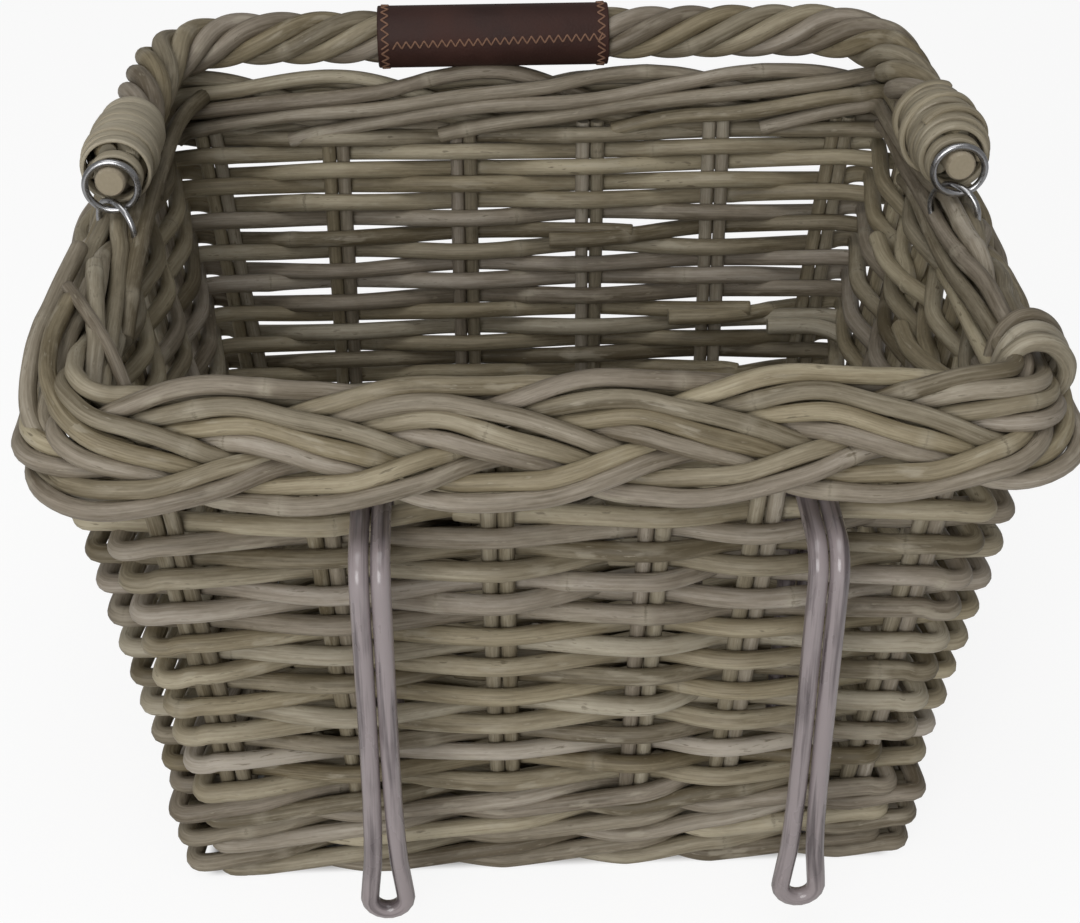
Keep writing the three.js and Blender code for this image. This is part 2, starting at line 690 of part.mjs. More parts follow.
// Least distance between points of a winding that lie more than half a turn apart
function leastGap(rings) {
  let least = Infinity;
  for (let i = 0; i < rings.length; i += 1) {
    for (let j = i + CANE_STEPS / 2; j < rings.length; j += 1) {
      for (const a of rings[i]) {
        for (const b of rings[j]) {
          least = Math.min(least, a.distanceTo(b));
        }
      }
    }
  }
  return least;
}

function leatherSleeve() {
  const ends = [handlePoint(SLEEVE_LEFT, BAR_REACH), handlePoint(SLEEVE_RIGHT, BAR_REACH)];
  const outer = handleRings(ends, roundSection(SLEEVE_OUTER * 2, SLEEVE_SIDES));
  const inner = handleRings(ends, roundSection(SLEEVE_BORE * 2, SLEEVE_SIDES));
  return loft([...outer, ...inner.reverse()], true);
}

// Hooks

const SEAT_ROW_Z = rowHeight(FOOT_ROWS + WALL_ROWS - 1);

function hook(place) {
  const spread = (HOOK_ROD + HOOK_LEG_GAP) / 2;
  const topZ = SEAT_ROW_Z + ROD / 2 + CLEARANCE + HOOK_ROD / 2;
  const wallGap = ROW_OFFSET + ROD / 2 + CLEARANCE + HOOK_ROD / 2;
  const innerTop = wallGap + HOOK_INNER_EASE - wallAt(topZ).y;
  const innerEnd = wallGap - wallAt(HOOK_INNER_Z).y;
  const eyeZ = HOOK_BOTTOM_Z + HOOK_ROD / 2 + EYE_RADIUS;
  const legEnd = eyeZ + EYE_RISE;
  const leg = (x) => {
    const seatEnd = vec(x, HOOK_SEAT_END, topZ);
    const inner = [vec(x, innerEnd, HOOK_INNER_Z), vec(x, innerTop, topZ + HOOK_LIFT), seatEnd];
    const outer = [seatEnd, vec(x, HOOK_LEG_Y, topZ), vec(x, HOOK_LEG_Y, legEnd)];
    return [
      ...rounded(inner, HOOK_BEND, HOOK_BEND_STEPS),
      ...rounded(outer, HOOK_BEND, HOOK_BEND_STEPS).slice(1),
    ];
  };
  const eye = [];
  for (let step = 0; step <= EYE_STEPS; step += 1) {
    const angle = Math.PI + (step / EYE_STEPS) * Math.PI;
    eye.push(vec(place + Math.cos(angle) * EYE_RADIUS, HOOK_LEG_Y, eyeZ + Math.sin(angle) * EYE_RADIUS));
  }
  const path = [...leg(place - spread), ...eye, ...leg(place + spread).reverse()];
  return sweep(path, roundSection(HOOK_ROD, HOOK_SIDES), X_AXIS);
}

// Assembly

function add(group, name, geometry, material) {
  const mesh = new THREE.Mesh(geometry, material);
  mesh.name = name;
  group.add(mesh);
}

const basket = new THREE.Group();
PAIRS.forEach((pair) => add(basket, pair.name, stakePair(pair), MATERIALS.rattan));
add(basket, 'foot_rod_01', footRod(), MATERIALS.rattan);
add(basket, 'foot_rod_02', woundFootRod(), MATERIALS.rattan);
for (let row = 0; row < WALL_ROWS + TOP_ROWS; row += 1) {
  const name = `weaving_rod_${String(row + 1).padStart(2, '0')}`;
  add(basket, name, weavingRod(FOOT_ROWS + row), MATERIALS.rattan);
}
add(basket, 'base_frame', baseFrame(), MATERIALS.rattan);
add(basket, 'base_sticks', baseSticks(), MATERIALS.rattan);
add(basket, 'base_weaver', baseWeaver(), MATERIALS.rattan);
for (let strand = 0; strand < STRANDS; strand += 1) {
  add(basket, `border_strand_${strand + 1}`, plaitStrand(strand), MATERIALS.rattan);
}
add(basket, 'border_inner_rod', innerRod(), MATERIALS.rattan);
for (const [name, place] of Object.entries(HOOK_PLACES)) {
  add(basket, `hook_${name}`, hook(place), MATERIALS.coating);
}

const handle = new THREE.Group();
handle.position.set(0, RING_Y, HINGE_Z);
add(handle, 'handle_core', handleCore(), MATERIALS.rattan);
add(handle, 'handle_twist', handleRope(), MATERIALS.rattan);
add(handle, 'leather_sleeve', leatherSleeve(), MATERIALS.leather);
for (const [name, side] of [['left', -1], ['right', 1]]) {
  add(basket, `rim_ring_${name}`, rimRing(side), MATERIALS.steel);
  add(handle, `handle_ring_${name}`, handleRing(side), MATERIALS.steel);
  add(handle, `binding_${name}`, binding(side), MATERIALS.cane);
}

const part = new THREE.Group();
part.add(basket, handle);

export default part;
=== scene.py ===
"""Woven rattan bicycle basket with a plaited rim, a twisted handle and two handlebar hooks.

Lengths are in millimetres until a mesh is made; meshes are in metres, in the frame of the CAD model.
"""

import json
import logging
import math
from collections.abc import Sequence
from dataclasses import dataclass, field
from enum import Enum

import bpy
import numpy as np
from mathutils import Euler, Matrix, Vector

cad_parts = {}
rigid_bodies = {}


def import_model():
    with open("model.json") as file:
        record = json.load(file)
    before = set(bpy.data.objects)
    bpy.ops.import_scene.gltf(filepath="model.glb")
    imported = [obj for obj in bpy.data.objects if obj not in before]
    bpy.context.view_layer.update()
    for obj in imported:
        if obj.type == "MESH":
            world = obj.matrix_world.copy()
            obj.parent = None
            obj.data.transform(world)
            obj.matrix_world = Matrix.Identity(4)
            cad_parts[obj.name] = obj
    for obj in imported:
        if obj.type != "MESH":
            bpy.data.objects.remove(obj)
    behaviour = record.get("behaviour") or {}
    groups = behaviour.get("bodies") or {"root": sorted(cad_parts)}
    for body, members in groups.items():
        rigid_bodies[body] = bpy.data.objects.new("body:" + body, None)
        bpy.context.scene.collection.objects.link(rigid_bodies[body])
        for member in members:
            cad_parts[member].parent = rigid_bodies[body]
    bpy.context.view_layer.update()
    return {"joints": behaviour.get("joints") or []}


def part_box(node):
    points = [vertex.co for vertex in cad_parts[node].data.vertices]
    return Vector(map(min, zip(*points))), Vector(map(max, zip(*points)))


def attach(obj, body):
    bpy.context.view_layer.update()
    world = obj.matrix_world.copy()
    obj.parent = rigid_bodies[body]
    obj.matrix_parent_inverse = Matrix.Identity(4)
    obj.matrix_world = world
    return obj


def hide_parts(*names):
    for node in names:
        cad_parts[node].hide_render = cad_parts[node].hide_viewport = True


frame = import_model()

LOG = logging.getLogger("basket")
MM = 0.001
TURN = 2 * math.pi
Z_AXIS = np.array([0.0, 0.0, 1.0])
X_AXIS = np.array([1.0, 0.0, 0.0])
ROD_UV = "rod_uv"
ROD_DATA = "rod_data"

Array = np.ndarray
Colour = tuple[float, float, float]


class Body(Enum):
    """Bodies of the frame that pieces move with."""

    BASKET = "basket"
    HANDLE = "handle"


class Slot(Enum):
    """Material slots of the record."""

    RATTAN = "rattan"
    CANE = "cane"
    LEATHER = "leather"
    STEEL = "ring_steel"
    COATING = "hook_coating"


# Paths


def unit(vectors: Array) -> Array:
    """Scale vectors along the last axis to length one."""
    return vectors / np.maximum(np.linalg.norm(vectors, axis=-1, keepdims=True), 1e-9)


def eased(corners: Sequence[Array] | Array, passes: int = 3, closed: bool = False) -> Array:
    """Round a path of straight runs by cutting its corners again and again.

    Args:
        corners: points of the path.
        passes: how often the corners are cut.
        closed: whether the last point runs on to the first.

    Returns:
        The rounded path.
    """
    path = np.asarray(corners, float)
    for _ in range(passes):
        following = np.roll(path, -1, axis=0)
        cut = np.stack([0.75 * path + 0.25 * following, 0.25 * path + 0.75 * following], axis=1)
        if closed:
            path = cut.reshape(-1, 3)
        else:
            path = np.vstack([path[:1], cut[:-1].reshape(-1, 3), path[-1:]])
    return path


def lengths(path: Array) -> Array:
    """Length along a path at each of its points, the first 0."""
    return np.concatenate([[0.0], np.cumsum(np.linalg.norm(np.diff(path, axis=0), axis=1))])


def box_of(node: str) -> tuple[Array, Array]:
    """Corners of a CAD node's box, in millimetres."""
    low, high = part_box(node)
    return np.array(low) / MM, np.array(high) / MM


def read(path: Array, along: Array, places: Array) -> Array:
    """Read a path, whose points lie at the lengths along it, at other places."""
    return np.stack([np.interp(places, along, path[:, i]) for i in range(3)], axis=1)


def evenly(path: Array, step: float) -> Array:
    """Space a path's points evenly.

    Args:
        path: points of the path.
        step: wanted distance between points.

    Returns:
        Points at even distances, ends included.
    """
    along = lengths(path)
    return read(path, along, np.linspace(0, along[-1], max(3, round(along[-1] / step) + 1)))


def rounded(corners: Sequence[Array], radius: float, steps: int) -> Array:
    """Round the inner corners of a path of straight runs by arcs.

    Args:
        corners: points of the path.
        radius: of the arcs.
        steps: runs in each arc.

    Returns:
        The path with arcs for corners.
    """
    path = [corners[0]]
    for before, corner, after in zip(corners, corners[1:], corners[2:]):
        back, on = unit(before - corner), unit(after - corner)
        half = math.acos(float(np.clip(back @ on, -1, 1))) / 2
        centre = corner + unit(back + on) * radius / math.sin(half)
        start = corner + back * radius / math.tan(half) - centre
        sweep = math.pi - 2 * half
        for angle in np.linspace(0, sweep, steps + 1):
            path.append(centre + start * math.cos(angle) + unit(-back) * radius * math.sin(angle))
    path.append(corners[-1])
    return np.array(path)


def through(knots: Array, at: Array, period: float | None = None) -> Array:
    """Draw a smooth curve through knots.

    Args:
        knots: rows of a place and the values there, places rising.
        at: places to read the curve at.
        period: length after which the curve repeats, or None.

    Returns:
        The values at the places, one row for each.
    """
    if period is not None:
        shift = np.zeros(knots.shape[1])
        shift[0] = period
        knots = np.vstack([knots - shift, knots, knots + shift])
        at = (at - knots[len(knots) // 3, 0]) % period + knots[len(knots) // 3, 0]
    x, y = knots[:, 0], knots[:, 1:]
    slope = np.gradient(y, x, axis=0)
    i = np.clip(np.searchsorted(x, at) - 1, 0, len(x) - 2)
    span = (x[i + 1] - x[i])[:, None]
    t = np.clip((at - x[i])[:, None] / span, 0, 1)
    return (
        (1 + 2 * t) * (1 - t) ** 2 * y[i]
        + t * (1 - t) ** 2 * span * slope[i]
        + t**2 * (3 - 2 * t) * y[i + 1]
        + t**2 * (t - 1) * span * slope[i + 1]
    )


class Drift:
    """Smooth seeded drift along a length, as of a grown rod."""

    WAVES = 4

    def __init__(self, seed: int, wave: float, size: float) -> None:
        """Pick the waves.

        Args:
            seed: that picks them.
            wave: their usual length.
            size: of the drift.
        """
        rng = np.random.default_rng(seed)
        self.waves = wave * rng.uniform(0.6, 1.7, self.WAVES)
        self.phases = rng.uniform(0, TURN, self.WAVES)
        self.size = size / math.sqrt(self.WAVES / 2)

    def at(self, along: Array) -> Array:
        """Read the drift at lengths along the rod."""
        return self.size * np.sin(TURN * along[:, None] / self.waves + self.phases).sum(axis=1)


# Shaders


class Wire:
    """A shader socket that takes part in arithmetic."""

    def __init__(self, shader: "Shader", socket: bpy.types.NodeSocket) -> None:
        """Wrap a socket of a shader."""
        self.shader = shader
        self.socket = socket

    def _math(self, operation: str, *values: "Wire | float", clamp: bool = False) -> "Wire":
        """Add a Math node and give its value."""
        settings = {"operation": operation, "use_clamp": clamp}
        return self.shader.node("ShaderNodeMath", settings, dict(enumerate(values)))["Value"]

    def __add__(self, other: "Wire | float") -> "Wire":
        """Add a value."""
        return self._math("ADD", self, other)

    __radd__ = __add__

    def __mul__(self, other: "Wire | float") -> "Wire":
        """Multiply by a value."""
        return self._math("MULTIPLY", self, other)

    __rmul__ = __mul__

    def __sub__(self, other: "Wire | float") -> "Wire":
        """Take a value away."""
        return self._math("SUBTRACT", self, other)

    def __rsub__(self, other: "Wire | float") -> "Wire":
        """Take this from a value."""
        return self._math("SUBTRACT", other, self)

    def __truediv__(self, other: "Wire | float") -> "Wire":
        """Divide by a value."""
        return self._math("DIVIDE", self, other)

    def __rtruediv__(self, other: "Wire | float") -> "Wire":
        """Divide a value by this."""
        return self._math("DIVIDE", other, self)

    def apply(self, operation: str) -> "Wire":
        """Apply a Math operation on one value, such as "SINE"."""
        return self._math(operation, self)

    def clamped(self) -> "Wire":
        """Keep the value between 0 and 1."""
        return self._math("ADD", self, 0.0, clamp=True)


class Outputs:
    """Outputs of a shader node."""

    def __init__(self, shader: "Shader", node: bpy.types.Node) -> None:
        """Wrap a node of a shader."""
        self.shader = shader
        self.node = node

    def __getitem__(self, key: str | int) -> Wire:
        """Fetch an output by name or number."""
        return Wire(self.shader, self.node.outputs[key])


class Shader:
    """A material under construction."""

    MIX_A, MIX_B, MIX_RESULT = 6, 7, 2

    def __init__(self, name: str) -> None:
        """Start a material with its surface node.

        Args:
            name: of the material.
        """
        self.material = bpy.data.materials.new(name)
        self.material.use_nodes = True
        self.tree = self.material.node_tree
        self.surface = self.tree.nodes["Principled BSDF"]

    def node(self, kind: str, settings: dict, inputs: dict) -> Outputs:
        """Add a node.

        Args:
            kind: type of the node.
            settings: its properties.
            inputs: values or wires for its inputs, by name or number.

        Returns:
            Its outputs.
        """
        made = self.tree.nodes.new(kind)
        for key, value in settings.items():
            setattr(made, key, value)
        self._fill(made, inputs)
        return Outputs(self, made)

    def _fill(self, node: bpy.types.Node, inputs: dict) -> None:
        """Set or link a node's inputs."""
        for key, value in inputs.items():
            if isinstance(value, Wire):
                self.tree.links.new(value.socket, node.inputs[key])
            else:
                node.inputs[key].default_value = value

    def finish(self, inputs: dict) -> bpy.types.Material:
        """Set the surface's inputs and give the finished material."""
        self._fill(self.surface, inputs)
        return self.material

    def mix(self, factor: Wire | float, a: Wire | Colour, b: Wire | Colour, blend: str = "MIX") -> Wire:
        """Mix two colours.

        Args:
            factor: share of the second colour.
            a: first colour.
            b: second colour.
            blend: way of mixing.

        Returns:
            The mixed colour.
        """
        full = [c if isinstance(c, Wire) else (*c, 1.0) for c in (a, b)]
        settings = {"data_type": "RGBA", "blend_type": blend}
        inputs = {0: factor, self.MIX_A: full[0], self.MIX_B: full[1]}
        return self.node("ShaderNodeMix", settings, inputs)[self.MIX_RESULT]

    def noise(self, vector: Wire, scale: float, detail: float = 2.0) -> Wire:
        """Read a noise texture's grey value at a place."""
        inputs = {"Vector": vector, "Scale": scale, "Detail": detail}
        return self.node("ShaderNodeTexNoise", {}, inputs)["Fac"]

    def bump(self, height: Wire, distance: float, strength: float = 1.0) -> Wire:
        """Make a normal bumped by a height, which stands out by a distance in metres."""
        inputs = {"Height": height, "Distance": distance, "Strength": strength}
        return self.node("ShaderNodeBump", {}, inputs)["Normal"]

    def objects(self) -> Wire:
        """Read the object's own coordinates."""
        return self.node("ShaderNodeTexCoord", {}, {})["Object"]


class RodPlace:
    """Where a shader is on a rod, read from the piece's own map and attribute."""

    def __init__(self, shader: Shader) -> None:
        """Read the map and the attribute.

        Args:
            shader: that reads them.
        """
        self.shader = shader
        uv = shader.node("ShaderNodeUVMap", {"uv_map": ROD_UV}, {})["UV"]
        place = shader.node("ShaderNodeSeparateXYZ", {}, {0: uv})
        data = shader.node("ShaderNodeAttribute", {"attribute_name": ROD_DATA}, {})["Vector"]
        values = shader.node("ShaderNodeSeparateXYZ", {}, {0: data})
        self.along = place["X"]
        self.cosine = (place["Y"] * TURN).apply("COSINE")
        self.sine = (place["Y"] * TURN).apply("SINE")
        self.tone, self.seed, self.end = values["X"], values["Y"], values["Z"]

    def grain(self, around: float, along: float, shift: float, detail: float = 2.0) -> Wire:
        """Read noise that follows the rod.

        Args:
            around: features round the rod.
            along: features for each metre.
            shift: how far rods of different seeds lie apart in the noise.
            detail: number of finer layers.

        Returns:
            The noise.
        """
        inputs = {
            "X": self.cosine * (around / TURN),
            "Y": self.sine * (around / TURN),
            "Z": self.along * along + self.seed * shift,
        }
        vector = self.shader.node("ShaderNodeCombineXYZ", {}, inputs)["Vector"]
        return self.shader.noise(vector, 1.0, detail)


@dataclass(frozen=True)
class RodFinish:
    """Rattan or cane with grain along each rod."""

    name: str
    dark: Colour
    mid: Colour
    pale: Colour
    warm: Colour
    pith: Colour
    roughness: float
    knots: float = 1.0
    contrast: float = 1.0
    cool: Colour = (1.0, 0.985, 1.1)

    def material(self) -> bpy.types.Material:
        """Build the material.

        Returns:
            The material.
        """
        s = Shader(self.name)
        rod = RodPlace(s)
        fibre = rod.grain(30, 34, 61, 3)
        patch = rod.grain(4, 17, 37, 4)
        fleck = rod.grain(18, 160, 23, 3)
        value = (
            0.5
            + (rod.tone - 0.5) * 0.9
            + (patch - 0.5) * (1.5 * self.contrast)
            + (fibre - 0.5) * (0.8 * self.contrast)
            + (fleck - 0.5) * (0.55 * self.contrast)
        ).clamped()
        low = s.mix((value * 2.0).clamped(), self.dark, self.mid)
        colour = s.mix((value * 2.0 - 1.0).clamped(), low, self.pale)
        colour = s.mix((rod.seed * 2.6 - 1.6).clamped() * 0.5, colour, self.warm, "MULTIPLY")
        colour = s.mix((1.3 - rod.seed * 3.0).clamped() * 0.8, colour, self.cool, "MULTIPLY")
        stem = (rod.along / Knot.SPACING + rod.seed).apply("FRACT")
        offset = (stem - 0.5).apply("ABSOLUTE") * Knot.SPACING
        ragged = offset + (fibre - 0.5) * 0.003
        line = (1.0 - ragged.apply("ABSOLUTE") / Knot.LINE).clamped() * self.knots
        line = line * ((patch - 0.3) * 3.0).clamped()
        band = (1.0 - offset / Knot.BAND).clamped() * self.knots
        colour = s.mix(band * 0.3, colour, self.pale)
        colour = s.mix(line * 0.5, colour, self.dark)
        dash = ((fleck - 0.6) * 10.0).clamped() * ((patch - 0.42) * 5.0).clamped()
        colour = s.mix(dash * 0.75, colour, self.dark)
        scratch = ((0.36 - fleck) * 10.0).clamped() * ((0.6 - patch) * 5.0).clamped()
        colour = s.mix(scratch * 0.45, colour, self.pale)
        worn = ((rod.grain(5, 55, 11, 5) - 0.56) * 14.0).clamped()
        worn = worn * ((rod.grain(2, 12, 83) - 0.42) * 6.0).clamped()
        colour = s.mix(worn * 0.4, colour, self.pale)
        pith = s.mix(s.noise(s.objects(), 900.0), self.mid, self.pith)
        colour = s.mix(rod.end * 0.8, colour, pith)
        height = fibre * 0.55 + fleck * 0.3 + patch * 0.15 + band * 0.5 - line * 0.7
        return s.finish({
            "Base Color": colour,
            "Roughness": (self.roughness + (patch - 0.5) * 0.5 + rod.end * 0.2).clamped(),
            "Normal": s.bump(height, 0.0007, 0.55),
            "Specular IOR Level": 0.4,
        })


@dataclass(frozen=True)
class LeatherFinish:
    """Smooth dark leather with fine pores."""

    name: str
    dark: Colour
    pale: Colour
    roughness: float

    def material(self) -> bpy.types.Material:
        """Build the material.

        Returns:
            The material.
        """
        s = Shader(self.name)
        place = s.objects()
        cloud = s.noise(place, 38.0, 4)
        pores = s.node("ShaderNodeTexVoronoi", {}, {"Vector": place, "Scale": 900.0})["Distance"]
        crease = s.noise(place, 220.0, 3)
        colour = s.mix(((cloud - 0.5) * 2.0 + 0.5).clamped(), self.dark, self.pale)
        height = pores * 0.5 + crease * 0.5
        return s.finish({
            "Base Color": colour,
            "Roughness": (self.roughness + (cloud - 0.5) * 0.4).clamped(),
            "Normal": s.bump(height, 0.0004, 0.5),
            "Specular IOR Level": 0.3,
        })


@dataclass(frozen=True)
class ThreadFinish:
    """Waxed sewing thread."""

    name: str
    colour: Colour

    def material(self) -> bpy.types.Material:
        """Build the material.

        Returns:
            The material.
        """
        s = Shader(self.name)
        ply = s.noise(s.objects(), 1500.0)
        worn = (self.colour[0] * 0.5, self.colour[1] * 0.45, self.colour[2] * 0.4)
        return s.finish({"Base Color": s.mix(ply, worn, self.colour), "Roughness": 0.75})


@dataclass(frozen=True)
class SteelFinish:
    """Plain bent wire."""

    name: str
    colour: Colour
    roughness: float

    def material(self) -> bpy.types.Material:
        """Build the material.

        Returns:
            The material.
        """
        s = Shader(self.name)
        haze = s.noise(s.objects(), 260.0, 3)
        return s.finish({
            "Base Color": s.mix(haze, tuple(0.7 * c for c in self.colour), self.colour),
            "Metallic": 1.0,
            "Roughness": (self.roughness + (haze - 0.5) * 0.3).clamped(),
        })


@dataclass(frozen=True)
class CoatingFinish:
    """Glossy half-clear plastic over a dark rod, with streaks along it."""

    name: str
    core: Colour
    skin: Colour

    def material(self) -> bpy.types.Material:
        """Build the material.

        Returns:
            The material.
        """
        s = Shader(self.name)
        rod = RodPlace(s)
        streak = rod.grain(9, 14, 11, 3)
        cloud = rod.grain(3, 40, 5, 3)
        mix = ((streak - 0.42) * 5.0 + (cloud - 0.5) * 1.5 + 0.5).clamped()
        return s.finish({
            "Base Color": s.mix(mix, self.core, self.skin),
            "Roughness": (0.3 + (cloud - 0.5) * 0.3).clamped(),
            "Coat Weight": 0.5,
            "Coat Roughness": 0.12,
        })


RATTAN = RodFinish(
    "rattan", (0.125, 0.1, 0.06), (0.272, 0.234, 0.165), (0.445, 0.4, 0.308), (0.98, 0.91, 0.7),
    (0.34, 0.31, 0.24), 0.58,
)
CANE = RodFinish(
    "cane", (0.15, 0.122, 0.078), (0.345, 0.3, 0.215), (0.53, 0.475, 0.365), (0.98, 0.93, 0.8),
    (0.4, 0.36, 0.28), 0.5, 0.0, 0.8,
)
CORE = RodFinish(
    "core_pith", (0.2, 0.165, 0.105), (0.33, 0.28, 0.195), (0.43, 0.38, 0.28), (1.0, 0.96, 0.88),
    (0.42, 0.36, 0.26), 0.75, 0.0, 0.9,
)
LEATHER = LeatherFinish("leather", (0.024, 0.0098, 0.0076), (0.058, 0.0235, 0.0175), 0.62)
THREAD = ThreadFinish("thread", (0.3, 0.165, 0.105))
STEEL = SteelFinish("steel", (0.5, 0.5, 0.51), 0.28)
COATING = CoatingFinish("coating", (0.105, 0.085, 0.088), (0.31, 0.265, 0.268))


Finish = RodFinish | LeatherFinish | ThreadFinish | SteelFinish | CoatingFinish


class Palette:
    """Materials made once and shared."""

    def __init__(self) -> None:
        """Start with no material."""
        self._made: dict[str, bpy.types.Material] = {}

    def of(self, finish: Finish) -> bpy.types.Material:
        """Fetch a finish's material.

        Args:
            finish: the finish.

        Returns:
            Its material.
        """
        if finish.name not in self._made:
            self._made[finish.name] = finish.material()
        return self._made[finish.name]


# Meshes


class Knot:
    """Joints of a rattan stem, in metres along it."""

    SPACING = 0.21
    LINE = 0.0007
    BAND = 0.0045
    SWELL = 0.07


@dataclass
class Rod:
    """One rod or strip swept along its centre line.

    Attributes:
        path: centre line.
        thick: half its thickness, one value or one for each point.
        seed: picks its tone, joints and place in the grain.
        wide: half its width where it is a strip.
        facing: directions that a strip's thickness points along.
        tone: from 0, dark, to 1, pale, or None to let the seed pick.
        closed: whether it runs on into itself.
        knots: whether its joints stand out.
    """

    path: Array
    thick: float | Array
    seed: int
    wide: float | None = None
    facing: Array | None = None
    tone: float | None = None
    closed: bool = False
    knots: bool = True


class RodMesh:
    """Collects swept rods into one piece."""

    SIDES = 12
    CUT = 0.86
    CUT_DEPTH = 0.12
    STRIP_ROUNDING = 0.5

    def __init__(self, sides: int = SIDES) -> None:
        """Start an empty mesh.

        Args:
            sides: of each rod's section.
        """
        self.sides = sides
        self.points: list[Array] = []
        self.data: list[Array] = []
        self.faces: list[list[int]] = []
        self.uvs: list[Array] = []
        self.smooth: list[bool] = []
        self.count = 0

    def _frames(self, rod: Rod) -> tuple[Array, Array, Array]:
        """Find a rod's directions at its points.

        Args:
            rod: the rod.

        Returns:
            Directions along, across and beside it.
        """
        if rod.closed:
            ways = unit(np.roll(rod.path, -1, axis=0) - np.roll(rod.path, 1, axis=0))
        else:
            ways = unit(np.gradient(rod.path, axis=0))
        if rod.facing is not None:
            across = unit(rod.facing - ways * (rod.facing * ways).sum(axis=1, keepdims=True))
        else:
            across = np.zeros_like(ways)
            last = Z_AXIS if abs(ways[0, 2]) < 0.8 else X_AXIS
            for i, way in enumerate(ways):
                across[i] = last = unit(last - way * (last @ way))
        return ways, across, np.cross(ways, across)

    def add(self, rod: Rod) -> None:
        """Sweep a rod into the mesh.

        Args:
            rod: the rod.
        """
        rng = np.random.default_rng(rod.seed)
        chance, tone = rng.uniform(), float(np.clip(rng.normal(0.5, 0.19), 0.05, 0.95))
        tone = tone if rod.tone is None else rod.tone
        ways, across, beside = self._frames(rod)
        along = lengths(rod.path) * MM
        thick = np.broadcast_to(np.asarray(rod.thick, float), along.shape).copy()
        if rod.knots:
            offset = np.abs((along / Knot.SPACING + chance) % 1 - 0.5) * Knot.SPACING
            thick *= 1 + Knot.SWELL * np.exp(-((offset / Knot.BAND) ** 2))
            thick *= 1 + Drift(rod.seed + 1, 0.09, 0.02).at(along)
        wide = thick if rod.wide is None else np.full_like(thick, rod.wide)
        angles = np.arange(self.sides) / self.sides * TURN
        circle = np.stack([np.cos(angles), np.sin(angles)], axis=1)
        if rod.wide is not None:
            circle = np.sign(circle) * np.abs(circle) ** self.STRIP_ROUNDING
        rings = (
            rod.path[:, None]
            + across[:, None] * (thick[:, None] * circle[:, 0])[..., None]
            + beside[:, None] * (wide[:, None] * circle[:, 1])[..., None]
        )
        look = (tone, chance)
        if rod.closed:
            seam = np.linalg.norm(rod.path[0] - rod.path[-1]) * MM
            self._wall(rings, np.append(along, along[-1] + seam), look, True)
            return
        depth = self.CUT_DEPTH * float(thick[0])
        first = (rings[0] - rod.path[0]) * self.CUT + rod.path[0] - ways[0] * depth
        last = (rings[-1] - rod.path[-1]) * self.CUT + rod.path[-1] + ways[-1] * depth
        rings = np.concatenate([first[None], rings, last[None]])
        along = np.concatenate([[along[0] - depth * MM], along, [along[-1] + depth * MM]])
        self._wall(rings, along, look, False)
        self._cap(first[::-1], look)
        self._cap(last, look)

    def _wall(self, rings: Array, along: Array, look: tuple[float, float], closed: bool) -> None:
        """Add the faces between rings.

        Args:
            rings: points round the rod, ring by ring.
            along: length along the rod at each ring.
            look: the rod's tone and chance.
            closed: whether the last ring joins the first.
        """
        n, m = rings.shape[:2]
        self.points.append(rings.reshape(-1, 3))
        self.data.append(np.tile([*look, 0.0], (n * m, 1)))
        i, j = np.meshgrid(np.arange(n if closed else n - 1), np.arange(m), indexing="ij")
        ni, nj = (i + 1) % n, (j + 1) % m
        quads = np.stack([i * m + j, i * m + nj, ni * m + nj, ni * m + j], axis=-1).reshape(-1, 4)
        self.faces += (quads + self.count).tolist()
        u = np.stack([along[i], along[i], along[i + 1], along[i + 1]], axis=-1)
        v = np.stack([j, j + 1, j + 1, j], axis=-1) / m
        self.uvs.append(np.stack([u, v], axis=-1).reshape(-1, 2))
        self.smooth += [True] * len(quads)
        self.count += n * m

    def _cap(self, ring: Array, look: tuple[float, float]) -> None:
        """Add the cut face that closes an end.

        Args:
            ring: points round the end.
            look: the rod's tone and chance.
        """
        self.points.append(ring)
        self.data.append(np.tile([*look, 1.0], (len(ring), 1)))
        self.faces.append(list(range(self.count, self.count + len(ring))))
        angles = np.arange(len(ring)) / len(ring) * TURN
        self.uvs.append(np.stack([np.cos(angles), np.sin(angles)], axis=1) * MM)
        self.smooth.append(False)
        self.count += len(ring)

    def object(self, name: str, material: bpy.types.Material) -> bpy.types.Object:
        """Make the piece.

        Args:
            name: of the piece.
            material: its material.

        Returns:
            The object, at the origin.
        """
        mesh = bpy.data.meshes.new(name)
        mesh.from_pydata((np.concatenate(self.points) * MM).tolist(), [], self.faces)
        mesh.uv_layers.new(name=ROD_UV).data.foreach_set("uv", np.concatenate(self.uvs).ravel())
        data = mesh.attributes.new(ROD_DATA, "FLOAT_VECTOR", "POINT")
        data.data.foreach_set("vector", np.concatenate(self.data).ravel())
        mesh.polygons.foreach_set("use_smooth", self.smooth)
        mesh.materials.append(material)
        mesh.update()
        piece = bpy.data.objects.new(name, mesh)
        bpy.context.scene.collection.objects.link(piece)
        return piece


